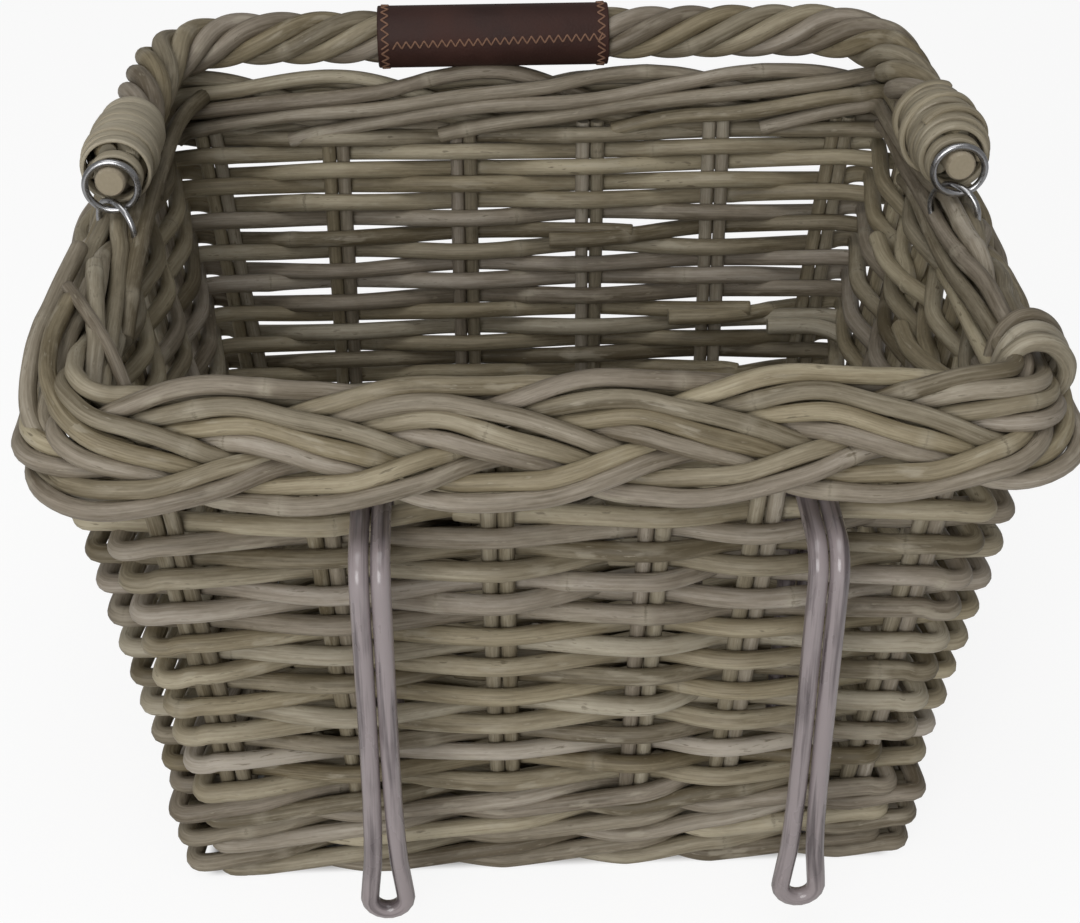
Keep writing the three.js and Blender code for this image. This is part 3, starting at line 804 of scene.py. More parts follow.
@dataclass
class Workshop:
    """Places finished pieces in the frame."""

    palette: Palette = field(default_factory=Palette)

    def place(self, piece: bpy.types.Object, body: Body, slot: Slot, nodes: Sequence[str] = ()) -> None:
        """Let a piece move with a body and stand for CAD nodes.

        Args:
            piece: the piece.
            body: that it moves with.
            slot: of the record that its finish would come from; not used.
            nodes: CAD nodes that it stands for.
        """
        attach(piece, body.value)
        if nodes:
            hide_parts(*nodes)
        stands_for = ", ".join(nodes) or "no node"
        LOG.info("%s: %d faces, stands for %s", piece.name, len(piece.data.polygons), stands_for)

    def rods(
        self, name: str, rods: Sequence[Rod], finish: Finish, body: Body, slot: Slot,
        nodes: Sequence[str] = (), sides: int = RodMesh.SIDES,
    ) -> None:
        """Make one piece of swept rods.

        Args:
            name: of the piece.
            rods: in it.
            finish: of all of them.
            body: that it moves with.
            slot: of the record.
            nodes: CAD nodes that it stands for.
            sides: of each rod's section.
        """
        mesh = RodMesh(sides)
        for rod in rods:
            mesh.add(rod)
        self.place(mesh.object(name, self.palette.of(finish)), body, slot, nodes)

    def rattan(self, name: str, rods: Sequence[Rod], nodes: Sequence[str] = ()) -> None:
        """Make one piece of the basket's rattan rods."""
        self.rods(name, rods, RATTAN, Body.BASKET, Slot.RATTAN, nodes)


# Walls


@dataclass(frozen=True)
class Pair:
    """Place of a pair of stakes on a wall."""

    name: str
    place: float
    normal: Array
    along: Array
    draw: float
    opens: bool
    closes: bool

    @property
    def travel(self) -> Array:
        """Direction of weaving along the wall, anticlockwise."""
        return np.cross(Z_AXIS, self.normal)


@dataclass(frozen=True)
class Wall:
    """Walls that the stakes and weaving rods follow."""

    foot: tuple[float, float] = (140.0, 114.0)
    head: tuple[float, float] = (168.0, 129.5)
    height: float = 205.0
    foot_draw: float = 0.86
    back_draw: float = 1.0
    stake: float = 6.4
    stake_top: float = 232.0
    rod: float = 8.0
    row_offset: float = 6.6
    reach: float = 8.0
    corner_reach: float = 6.0
    corner_push: float = 5.5
    corner_ease: float = 9.0
    foot_rounds: int = 3
    foot_rods: int = 3
    foot_z: float = 7.5
    foot_pitch: float = 15.6
    foot_rise: float = 3.9
    rows: int = 20
    first_row: float = 49.75
    pitch: float = 8.45
    row_sway: float = 2.8
    corner_sway: float = 4.6
    rim_rows: int = 2
    rim_drop: float = 0.8
    lifted_rows: int = 2
    lift: float = 8.05
    places: tuple[tuple[str, tuple[float, ...]], ...] = (
        ("front", (-147, -88, -21, 40, 82, 147)),
        ("right", (-88, -30, 30, 88)),
        ("back", (147, 90, 30, -30, -90, -147)),
        ("left", (88, 30, -30, -88)),
    )

    def half(self, z: float) -> tuple[float, float]:
        """Half sizes of the stakes' surface in X and Y at a height."""
        share = z / self.height
        return tuple(a + (b - a) * share for a, b in zip(self.foot, self.head))

    def pairs(self) -> list[Pair]:
        """List the pairs of stakes, anticlockwise from the left end of the front wall.

        Returns:
            The pairs.
        """
        normals = {"front": (0, -1, 0), "right": (1, 0, 0), "back": (0, 1, 0), "left": (-1, 0, 0)}
        found = []
        for side, places in self.places:
            normal = np.array(normals[side], float)
            along = np.array((abs(normal[1]), abs(normal[0]), 0.0))
            for i, place in enumerate(places):
                opens, closes = i == 0, i == len(places) - 1
                upright = side == "back" and not (opens or closes)
                draw = self.back_draw if upright else self.foot_draw
                found.append(Pair(f"stake_pair_{side}_{i + 1}", place, normal, along, draw, opens, closes))
        return found

    def point(self, pair: Pair, z: float) -> Array:
        """Middle of a pair of stakes at a height.

        Args:
            pair: the pair.
            z: the height.

        Returns:
            The point.
        """
        half = self.half(z)
        draw = pair.draw + (1 - pair.draw) * z / self.height
        out = abs(pair.normal[0]) * half[0] + abs(pair.normal[1]) * half[1]
        return pair.along * pair.place * draw + pair.normal * out + Z_AXIS * z

    def row_height(self, row: int, pair: Pair) -> float:
        """Height of a row of weaving at a pair of stakes.

        Args:
            row: its number from 0, above the foot rods.
            pair: the pair.

        Returns:
            The height of its middle.
        """
        z = self.first_row + row * self.pitch
        if row < self.rows - self.lifted_rows:
            return z
        towards = -self.point(pair, z)[1] / self.head[1]
        return z + self.lift * min(max(towards, 0.0), 1.0)


class Passing(Enum):
    """How a rod passes a pair of stakes."""

    INSIDE = -1
    OUTSIDE = 1


@dataclass(frozen=True)
class Pass:
    """A rod's way past one pair: its side, and its heights before and after."""

    pair: Pair
    side: Passing
    before: float
    after: float


@dataclass
class Weave:
    """Stakes and the rods woven through them."""

    wall: Wall
    shop: Workshop
    step: float = 1.8
    seed: int = 100

    def beside(self, way: Pass, z: float, offset: float) -> Array:
        """Point of a rod beside a pair, at a height and an offset from the stakes' surface."""
        return self.wall.point(way.pair, z) + way.pair.normal * offset * way.side.value

    def woven(self, passes: Sequence[Pass], rng: np.random.Generator) -> Array:
        """Draw a rod's line past pairs and round corners.

        Args:
            passes: the pairs in order.
            rng: for small differences of hand work.

        Returns:
            The line, with straight runs still sharp.
        """
        wall = self.wall
        corners: list[Array] = []
        for i, way in enumerate(passes):
            offset = wall.row_offset + rng.uniform(-0.4, 0.4)
            shift = rng.normal(0, 0.55)
            before = wall.corner_reach if way.pair.opens else wall.reach
            after = wall.corner_reach if way.pair.closes else wall.reach
            first = self.beside(way, way.before + shift, offset) - way.pair.travel * before
            last = self.beside(way, way.after + shift, offset) + way.pair.travel * after
            corners += [first, last]
            if way.pair.closes and i + 1 < len(passes):
                corners += self.bend(way, passes[i + 1])
        return np.array(corners)

    def bend(self, here: Pass, there: Pass) -> list[Array]:
        """Draw the tight bend round a corner of the basket.

        Args:
            here: last pass before the corner.
            there: first pass after it.

        Returns:
            Three points round the bend.
        """
        wall = self.wall
        z = (here.after + there.before) / 2
        half = np.array([*wall.half(z), 0.0])
        corner = Z_AXIS * z
        for way in (here, there):
            out = np.abs(way.pair.normal) @ half + wall.row_offset * way.side.value
            corner = corner + way.pair.normal * (out + wall.corner_push * abs(way.pair.normal[0]))
        ease = wall.corner_ease
        return [corner - here.pair.travel * ease, corner, corner + there.pair.travel * ease]

    def row(self, row: int) -> Rod:
        """Draw the rod of one row, its ends crossed inside behind one pair.

        Args:
            row: number of the row.

        Returns:
            The rod.
        """
        wall, pairs = self.wall, self.wall.pairs()
        seed = self.seed + row
        rng = np.random.default_rng(seed)
        start = int(rng.choice([i for i in range(len(pairs)) if (i + row) % 2]))
        passes = []
        for step in range(len(pairs)):
            i = (start + step) % len(pairs)
            side = Passing.INSIDE if (i + row) % 2 else Passing.OUTSIDE
            corner = pairs[i].normal[1] > 0 and (pairs[i].opens or pairs[i].closes)
            sway = wall.corner_sway if corner else wall.row_sway
            z = wall.row_height(row, pairs[i]) - sway * side.value * pairs[i].normal[1]
            passes.append(Pass(pairs[i], side, z, z))
        pair = passes[0].pair
        overlap = rng.uniform(14, 24, 2)
        base = self.beside(passes[0], passes[0].before, wall.row_offset)
        deeper = base - pair.normal * wall.rod * 0.95
        corners = np.vstack([
            base - pair.travel * overlap[0] - pair.normal * 2.0,
            self.woven(passes, rng),
            deeper - pair.travel * wall.reach,
            deeper + pair.travel * overlap[1],
        ])
        path = evenly(eased(corners), self.step)
        path[:, 2] += Drift(seed + 50, 160, 0.45).at(lengths(path))
        return Rod(path, wall.rod / 2 * rng.uniform(0.93, 1.05), seed)

    def rim_rod(self, row: int) -> Rod:
        """Draw a rod that fills up to the border on all walls but the hook wall.

        Args:
            row: number of the row, above the last whole one.

        Returns:
            The rod.
        """
        wall = self.wall
        seed = self.seed + row
        passes = []
        for i, pair in enumerate(wall.pairs()):
            if pair.normal[1] < 0:
                continue
            side = Passing.INSIDE if (i + row) % 2 else Passing.OUTSIDE
            z = wall.first_row + row * wall.pitch - wall.rim_drop
            z -= wall.row_sway * side.value * pair.normal[1]
            passes.append(Pass(pair, side, z, z))
        path = evenly(eased(self.woven(passes, np.random.default_rng(seed))), self.step)
        return Rod(path, wall.rod / 2 * 0.95, seed)

    def foot_rod(self, turn: int, number: int) -> Rod:
        """Draw one of the rods that climb outside two pairs and drop inside the third, at the foot.

        Args:
            turn: number of the round, from 0.
            number: of the rod in its round.

        Returns:
            The rod.
        """
        wall, pairs = self.wall, self.wall.pairs()
        seed = self.seed + 300 + turn * wall.foot_rods + number
        rng = np.random.default_rng(seed)
        middle, rise = wall.foot_z + turn * wall.foot_pitch, wall.foot_rise
        start = next(i for i in range(11, 14) if (i + turn + number) % 3 == 2)
        passes = []
        for step in range(len(pairs)):
            kind = (step + 2) % 3
            pair = pairs[(start + step) % len(pairs)]
            if kind == 2:
                passes.append(Pass(pair, Passing.INSIDE, middle + rise, middle - rise))
            else:
                z = middle + (rise if kind else -rise)
                passes.append(Pass(pair, Passing.OUTSIDE, z - 0.8, z + 0.8))
        path = evenly(eased(self.woven(passes, rng)), self.step)
        path[:, 2] = np.maximum(path[:, 2] + Drift(seed + 50, 150, 0.3).at(lengths(path)), wall.rod / 2 - 0.3)
        return Rod(path, wall.rod / 2 * rng.uniform(0.92, 1.0), seed)

    def stakes(self, pair: Pair, number: int) -> list[Rod]:
        """Draw the two stakes of a pair.

        Args:
            pair: the pair.
            number: of the pair.

        Returns:
            Two rods.
        """
        wall = self.wall
        heights = np.linspace(2.0, wall.stake_top, 60)
        middle = np.array([wall.point(pair, z) for z in heights])
        rods = []
        for side in (-1, 1):
            seed = self.seed + 200 + number * 2 + (side > 0)
            shift = side * (wall.stake / 2 + 0.05) + Drift(seed, 180, 0.15).at(heights)
            path = middle + pair.along * shift[:, None]
            rods.append(Rod(path, wall.stake / 2, seed))
        return rods

    def build(self) -> None:
        """Make the pieces of the walls."""
        wall = self.wall
        foot = [self.foot_rod(turn, rod) for turn in range(wall.foot_rounds) for rod in range(wall.foot_rods)]
        for number in (1, 2):
            node = f"foot_rod_{number:02d}"
            self.shop.rattan(f"{node}_round", foot[number - 1 :: 2], [node])
        for row in range(wall.rows):
            node = f"weaving_rod_{row + 1:02d}"
            self.shop.rattan(f"{node}_round", [self.row(row)], [node])
        self.shop.rattan("rim_rods", [self.rim_rod(wall.rows + row) for row in range(wall.rim_rows)])
        for i, pair in enumerate(wall.pairs()):
            self.shop.rattan(f"{pair.name}_round", self.stakes(pair, i), [pair.name])


# Base


@dataclass
class Base:
    """Bottom of the basket: a frame rod, sticks across it and a weaver."""

    wall: Wall
    shop: Workshop
    frame_rod: float = 8.0
    stick: float = 6.2
    middle: float = 9.7
    inset: float = 7.7
    corner: float = 16.0
    clearance: float = 0.4
    sticks: int = 5
    stick_pitch: float = 52.0
    weaver: float = 6.7
    passes: int = 33
    pass_pitch: float = 6.2
    lift: float = 5.8
    reach: float = 6.0
    turn: float = 3.4
    turn_slant: float = 1.24
    seed: int = 400

    def __post_init__(self) -> None:
        """Work out the frame rod's half sizes, the room inside it and the sticks' places."""
        self.half = np.array(self.wall.half(self.middle - self.frame_rod / 2)) - self.inset
        self.room = self.half - (self.frame_rod + self.stick) / 2 - self.clearance
        self.places = [(i - (self.sticks - 1) / 2) * self.stick_pitch for i in range(self.sticks)]

    def edge(self) -> Rod:
        """Draw the frame rod round the edge.

        Returns:
            The rod.
        """
        x, y = self.half
        plan = ((0, -y), (x, -y), (x, y), (-x, y), (-x, -y), (0, -y))
        corners = [np.array([*c, self.middle], float) for c in plan]
        loop = evenly(rounded(corners, self.corner, 12), 4.0)[:-1]
        return Rod(loop, self.frame_rod / 2, self.seed, closed=True)

    def cross_stick(self, number: int) -> Rod:
        """Draw a stick that lies across the base.

        Args:
            number: of the stick, from 0.

        Returns:
            The rod.
        """
        ends = [(self.places[number], y, self.middle) for y in (-self.room[1], self.room[1])]
        return Rod(evenly(np.array(ends), 6.0), self.stick / 2, self.seed + 1 + number)

    def to_and_fro(self) -> Rod:
        """Draw the weaver, over one stick and under the next.

        Returns:
            The rod.
        """
        end, z, path = self.room[0], self.middle, []
        for turn in range(self.passes):
            across = (turn - (self.passes - 1) / 2) * self.pass_pitch
            way = 1 if turn % 2 == 0 else -1
            path += [(-way * end, across - self.turn_slant, z), (-way * (end - self.turn), across, z)]
            for i in range(self.sticks)[::way]:
                level = z + (-self.lift if (i + turn) % 2 == 0 else self.lift)
                path += [(self.places[i] + side * way * self.reach, across, level) for side in (-1, 1)]
            path += [(way * (end - self.turn), across, z), (way * end, across + self.turn_slant, z)]
        return Rod(evenly(eased(path, 2), 2.5), self.weaver / 2, self.seed + 20)

    def build(self) -> None:
        """Make the pieces of the base."""
        self.shop.rattan("base_frame_round", [self.edge()], ["base_frame"])
        sticks = [self.cross_stick(i) for i in range(self.sticks)]
        self.shop.rattan("base_sticks_round", sticks, ["base_sticks"])
        self.shop.rattan("base_weaver_round", [self.to_and_fro()], ["base_weaver"])


# Border


@dataclass(frozen=True)
class RimLine:
    """Rounded rectangle along the rim, from the middle of the right side, anticlockwise."""

    half_x: float
    half_y: float
    radius: float

    @property
    def length(self) -> float:
        """Length of the whole line."""
        return 4 * (self.half_x + self.half_y - 2 * self.radius) + TURN * self.radius

    def at(self, along: Array) -> tuple[Array, Array]:
        """Places on the line and the directions that point out there.

        Args:
            along: lengths along the line.

        Returns:
            Points and outward directions.
        """
        x, y, r = self.half_x - self.radius, self.half_y - self.radius, self.radius
        quarter = r * math.pi / 2
        runs = [
            (y, (self.half_x, 0), math.pi / 2, False), (quarter, (x, y), 0.0, True),
            (2 * x, (x, self.half_y), math.pi, False), (quarter, (-x, y), math.pi / 2, True),
            (2 * y, (-self.half_x, y), -math.pi / 2, False), (quarter, (-x, -y), math.pi, True),
            (2 * x, (-x, -self.half_y), 0.0, False), (quarter, (x, -y), -math.pi / 2, True),
            (y, (self.half_x, -y), math.pi / 2, False),
        ]
        left = along % self.length
        points, normals = np.zeros((len(left), 3)), np.zeros((len(left), 3))
        start = 0.0
        for length, place, heading, bend in runs:
            here = (left >= start - 1e-9) & (left <= start + length + 1e-9)
            on = left[here] - start
            if bend:
                angle = heading + on / r
                normals[here, :2] = np.stack([np.cos(angle), np.sin(angle)], axis=1)
                points[here, :2] = np.array(place) + normals[here, :2] * r
            else:
                way = np.array([math.cos(heading), math.sin(heading)])
                normals[here, :2] = (way[1], -way[0])
                points[here, :2] = np.array(place) + on[:, None] * way
            start += length
        return points, normals


@dataclass
class Border:
    """Plaited rim: three strands of three rods each, and rods that arch over the top and run on inside."""

    wall: Wall
    shop: Workshop
    middle: float = 238.0
    standoff: float = 11.0
    corner: float = 25.0
    lean: float = math.radians(55)
    waves: int = 6
    strands: int = 3
    rod: float = 7.1
    shift: float = -9.0
    step: float = 4.0
    rounds: int = 160
    seed: int = 500
    # Places along one wave, height on the plait's face and depth out of it, where a strand's crest is 0
    knots: dict[str, tuple[tuple[float, float, float], ...]] = field(default_factory=lambda: {
        "top": (
            (-46, 5, -7), (-35, 9.5, -3), (-24.5, 13, 1), (-11, 14.5, 3.5), (10, 13, 4), (34, 7, 4),
            (56, 0, 3), (66, -3, 0), (76, -6, -5), (100, -4, -9), (140, 1, -9.5),
        ),
        "middle": (
            (-34, 3, -6), (-22.5, 7, -3), (-11, 8.5, 1.5), (10, 6, 4), (37.5, -2.5, 4), (51.5, -7, 2.5),
            (60, -9.5, -1), (70, -12.5, -4), (81.5, -15, -1), (101, -15, 3), (126.5, -11.5, 4),
            (136.5, -7, 3), (148, -3.5, -1), (157, -1.5, -5),
        ),
        "lower": (
            (-22, 1, -6.5), (-11, 2.5, -3), (-0.5, 1.5, 1.5), (6.5, 0, 3.5), (16.5, -3, 4), (30.5, -7.5, 3),
            (44.5, -10.5, -0.5), (54, -15, -4.5), (63, -19.5, -2.5), (80, -21.5, 1.5), (94, -22, 3),
            (107.5, -20.5, 3.5), (126.5, -15.5, 4), (140, -12, 3.5), (152, -7, 0), (162, -4, -4.5),
        ),
    })
    knot_wave: float = 211.0
    # Places along the rim, out from the plait's middle and up from it, of a rod that arches over the top
    arch: tuple[tuple[float, float, float], ...] = (
        (-62, -8, 3), (-45, -8, 10.5), (-28, -8.5, 15.5), (-8, -9.5, 18), (12, -11, 17.5), (34, -13.5, 14.5),
        (60, -16, 11.5), (95, -17.5, 8), (128, -18, 5.5), (165, -17.5, 2), (196, -17, -2), (215, -16.5, -7),
        (230, -16, -12),
    )
    # Half the thickness of each rod that ends on top of the rim, and places along it
    ends: tuple[tuple[float, tuple[tuple[float, float, float], ...]], ...] = (
        (3.6, ((-184, -27, 257), (-189, -62, 254), (-193, -95, 249), (-192, -118, 239), (-184, -134, 230))),
        (3.5, ((-182, -70, 258), (-185, -98, 256), (-182, -122, 252), (-172, -139, 246), (-152, -144, 238))),
        (2.6, ((-183, -63, 260), (-175, -78, 259), (-163, -99, 252), (-157, -111, 244))),
        (3.5, ((-176, -41, 257), (-173, -62, 258), (-169, -90, 253), (-167, -106, 246))),
        (3.5, ((-168, 86, 259), (-167, 42, 258), (-165, 0, 254), (-164, -40, 244))),
        (3.4, (
            (-190, -110, 224), (-189.5, -124, 222.5), (-188, -132.5, 222), (-184.5, -138.5, 222),
            (-179, -143, 222), (-170, -146.5, 222.5), (-150, -147, 224),
        )),
        (3.4, (
            (150, -147, 224), (168, -146, 222.5), (179, -141.5, 222), (187, -133.5, 222),
            (192.5, -124, 222), (194, -108, 224),
        )),
        (3.7, ((-148, 132, 250), (-155, 102, 254), (-160, 40, 255), (-162, -22, 251), (-163, -70, 240))),
    )
    # Out and up from the plait's middle, of the short rods that fold over the rim near a corner
    fold: tuple[tuple[float, float], ...] = (
        (-16, -4), (-17, 8), (-14, 17.5), (-7.5, 22.5), (1, 20.5), (8, 12.5), (10, 3.5), (7, -6),
    )
    folds: tuple[float, ...] = (-110.0, -119.0, -128.0)
    fold_slant: float = 17.0
    # Height that the rods keep under the handle's rings, and where along the short walls
    ring_room: float = 254.6
    ring_y: float = -17.0
    ring_reach: float = 18.0
    # Slow and quick bends of the strands' rods
    sway: float = 130.0
    sway_sizes: tuple[float, float] = (0.45, 0.3)

    def __post_init__(self) -> None:
        """Draw the rim's line and work out a wave's length."""
        half = self.wall.half(self.middle)
        self.line = RimLine(half[0] + self.standoff, half[1] + self.standoff, self.corner)
        self.wave = self.line.length / self.waves

    def turned(self, values: Array) -> Array:
        """Turn height on the face and depth into out and up, or back.

        Args:
            values: pairs of values.

        Returns:
            The turned pairs.
        """
        c, s = math.cos(self.lean), math.sin(self.lean)
        return np.stack([-values[:, 0] * c + values[:, 1] * s, values[:, 0] * s + values[:, 1] * c], axis=1)

    def relaxed(self) -> dict[str, Array]:
        """Push the rods of one wave apart until they lie on one another.

        Returns:
            For each kind of rod, rows of a place along the rim, out and up.
        """
        lobe = self.wave / self.strands
        tracks: dict[str, Array] = {}
        for name, knots in self.knots.items():
            table = np.array(knots, float)
            table[:, 0] *= self.wave / self.knot_wave
            places = np.arange(0, self.wave, self.wave / round(self.wave / self.step))
            curve = through(table, places + table[0, 0], self.wave)
            tracks[name] = np.column_stack([places + table[0, 0], self.turned(curve)])
        table = np.array(self.arch, float)
        places = np.arange(table[0, 0], table[-1, 0], self.step)
        tracks["arch"] = np.column_stack([places, through(table, places)])
        names = list(tracks)
        kind = np.concatenate([[i] * len(tracks[n]) for i, n in enumerate(names)])
        rest = np.concatenate([tracks[n] for n in names])
        now = rest.copy()
        same = kind[:, None] == kind[None, :]
        looped = (kind < len(self.knots))[:, None]
        for _ in range(self.rounds):
            push, met = np.zeros((len(now), 2)), np.zeros(len(now))
            for image in range(-7, 8):
                apart = now[:, None, :] - now[None, :, :]
                apart[:, :, 0] -= image * lobe
                gap = np.linalg.norm(apart, axis=2)
                hit = gap < self.rod
                if image == 0:
                    hit &= ~same
                elif image % self.strands == 0:
                    hit &= ~(same & looped)
                share = np.where(hit, (self.rod - gap) / np.maximum(gap, 1e-6), 0.0)
                push += (apart[:, :, 1:] * share[:, :, None]).sum(axis=1)
                met += hit.sum(axis=1)
            now[:, 1:] += 0.5 * push / np.maximum(met, 1)[:, None]
            for i, name in enumerate(names):
                own = now[kind == i, 1:]
                if name == "arch":
                    own[1:-1] += 0.2 * ((own[:-2] + own[2:]) / 2 - own[1:-1])
                else:
                    own += 0.2 * ((np.roll(own, 1, axis=0) + np.roll(own, -1, axis=0)) / 2 - own)
                now[kind == i, 1:] = own
            now[:, 1:] += 0.03 * (rest[:, 1:] - now[:, 1:])
        return {name: now[kind == i] for i, name in enumerate(names)}

    def lay(self, along: Array, offsets: Array) -> Array:
        """Place offsets from the plait's middle in space.

        Args:
            along: lengths along the rim.
            offsets: out and up at each.

        Returns:
            The points.
        """
        points, normals = self.line.at(along)
        return points + normals * offsets[:, :1] + Z_AXIS * (self.middle + offsets[:, 1:])

    def strand(self, number: int, tracks: dict[str, Array]) -> list[Rod]:
        """Draw the rods of one strand all round the rim.

        Args:
            number: of the strand, from 0.
            tracks: the rods' lines along one wave.

        Returns:
            The rods.
        """
        count = round(self.line.length / 3.0)
        along = np.arange(count) / count * self.line.length
        local = along + number / self.strands * self.wave - self.shift
        angle = TURN * round(self.line.length / self.sway) * along / self.line.length
        slow, quick = self.sway_sizes
        rods = []
        for i, name in enumerate(self.knots):
            seed = self.seed + number * 10 + i
            offsets = through(tracks[name], local, self.wave)
            for axis in range(2):
                phase = np.random.default_rng(seed + axis).uniform(0, TURN, 2)
                offsets[:, axis] += slow * np.sin(angle + phase[0]) + quick * np.sin(3 * angle + phase[1])
            rods.append(Rod(self.lay(along, offsets), self.rod / 2, seed, closed=True))
        return rods

    def arching(self, lobe: int, track: Array) -> Rod:
        """Draw a rod that arches over the top and runs on inside, low where the handle's rings hang.

        Args:
            lobe: number of the strand's lobe that it follows.
            track: its line along the rim.

        Returns:
            The rod.
        """
        seed = self.seed + 100 + lobe
        rng = np.random.default_rng(seed)
        track = track[: len(track) - int(rng.integers(0, 9))]
        places = np.linspace(track[0, 0], track[-1, 0], len(track) * 2)
        offsets = through(track, places)
        offsets[:, 1] += Drift(seed, 120, 0.7).at(places)
        start = lobe * self.wave / self.strands + self.shift + rng.uniform(-4, 4)
        path = self.lay(places + start, offsets)
        past_ring = np.maximum(np.abs(path[:, 1] - self.ring_y) - self.ring_reach, 0.0)
        path[:, 2] = np.minimum(path[:, 2], self.ring_room + 0.3 * past_ring)
        return Rod(path, self.rod / 2 * rng.uniform(0.95, 1.05), seed)

    def rod_ends(self) -> list[Rod]:
        """Draw the rods that end on top of the rim and those that fold over it.

        Returns:
            The rods.
        """
        share = np.linspace(0, 1, 40)
        rods = []
        for number, (thick, places) in enumerate(self.ends):
            corners = np.array(places, float)
            table = np.column_stack([lengths(corners), corners])
            rods.append(Rod(through(table, share * table[-1, 0]), thick, self.seed + 200 + number))
        table = np.column_stack([np.linspace(0, 1, len(self.fold)), self.fold])
        for number, start in enumerate(self.folds):
            path = self.lay(start + share * self.fold_slant, through(table, share))
            rods.append(Rod(path, self.rod / 2, self.seed + 220 + number))
        return rods

    def build(self) -> None:
        """Make the pieces of the border."""
        tracks = self.relaxed()
        for number in range(self.strands):
            node = f"border_strand_{number + 1}"
            self.shop.rattan(f"{node}_rods", self.strand(number, tracks), [node])
        arches = [self.arching(lobe, tracks["arch"]) for lobe in range(self.waves * self.strands)]
        self.shop.rattan("border_arches", arches, ["border_inner_rod"])
        self.shop.rattan("border_rod_ends", self.rod_ends())


# Hooks


@dataclass
class Hook:
    """Coated rod bent double: an eye below, two legs over the top row and down inside the wall."""

    shop: Workshop
    node: str
    seed: int
    rod: float = 7.5
    leg_gap: float = 0.5
    leg_y: float = -167.0
    top_z: float = 201.1
    bend: float = 12.0
    inner_z: float = 70.0
    inner_top_y: float = -109.1
    inner_end_y: float = -104.0
    bottom_z: float = 20.0
    eye_radius: float = 7.4
    legs_meet: float = 62.75

    def leg(self, x: float) -> Array:
        """Draw the line of a leg, from its inner end over the top and down to the eye.

        Args:
            x: its place across.

        Returns:
            The line.
        """
        places = (
            (self.inner_end_y, self.inner_z), (self.inner_top_y, self.top_z),
            (self.leg_y, self.top_z), (self.leg_y, self.legs_meet),
        )
        return rounded([np.array([x, *place]) for place in places], self.bend, 10)

    def build(self) -> None:
        """Make the hook."""
        place = np.mean(box_of(self.node), axis=0)[0]
        spread = (self.rod + self.leg_gap) / 2
        angles = np.linspace(math.pi, TURN, 16)
        eye = np.stack([
            place + np.cos(angles) * self.eye_radius,
            np.full_like(angles, self.leg_y),
            self.bottom_z + self.rod / 2 + (1 + np.sin(angles)) * self.eye_radius,
        ], axis=1)
        path = np.vstack([self.leg(place - spread), eye, self.leg(place + spread)[::-1]])
        rod = Rod(evenly(eased(path, 2), 2.5), self.rod / 2, self.seed, knots=False)
        self.shop.rods(f"{self.node}_coated", [rod], COATING, Body.BASKET, Slot.COATING, [self.node], 20)


# Handle


@dataclass(frozen=True)
class Strip:
    """Half the thickness and width of a cane strip, and its tone."""

    thick: float
    wide: float
    tone: float


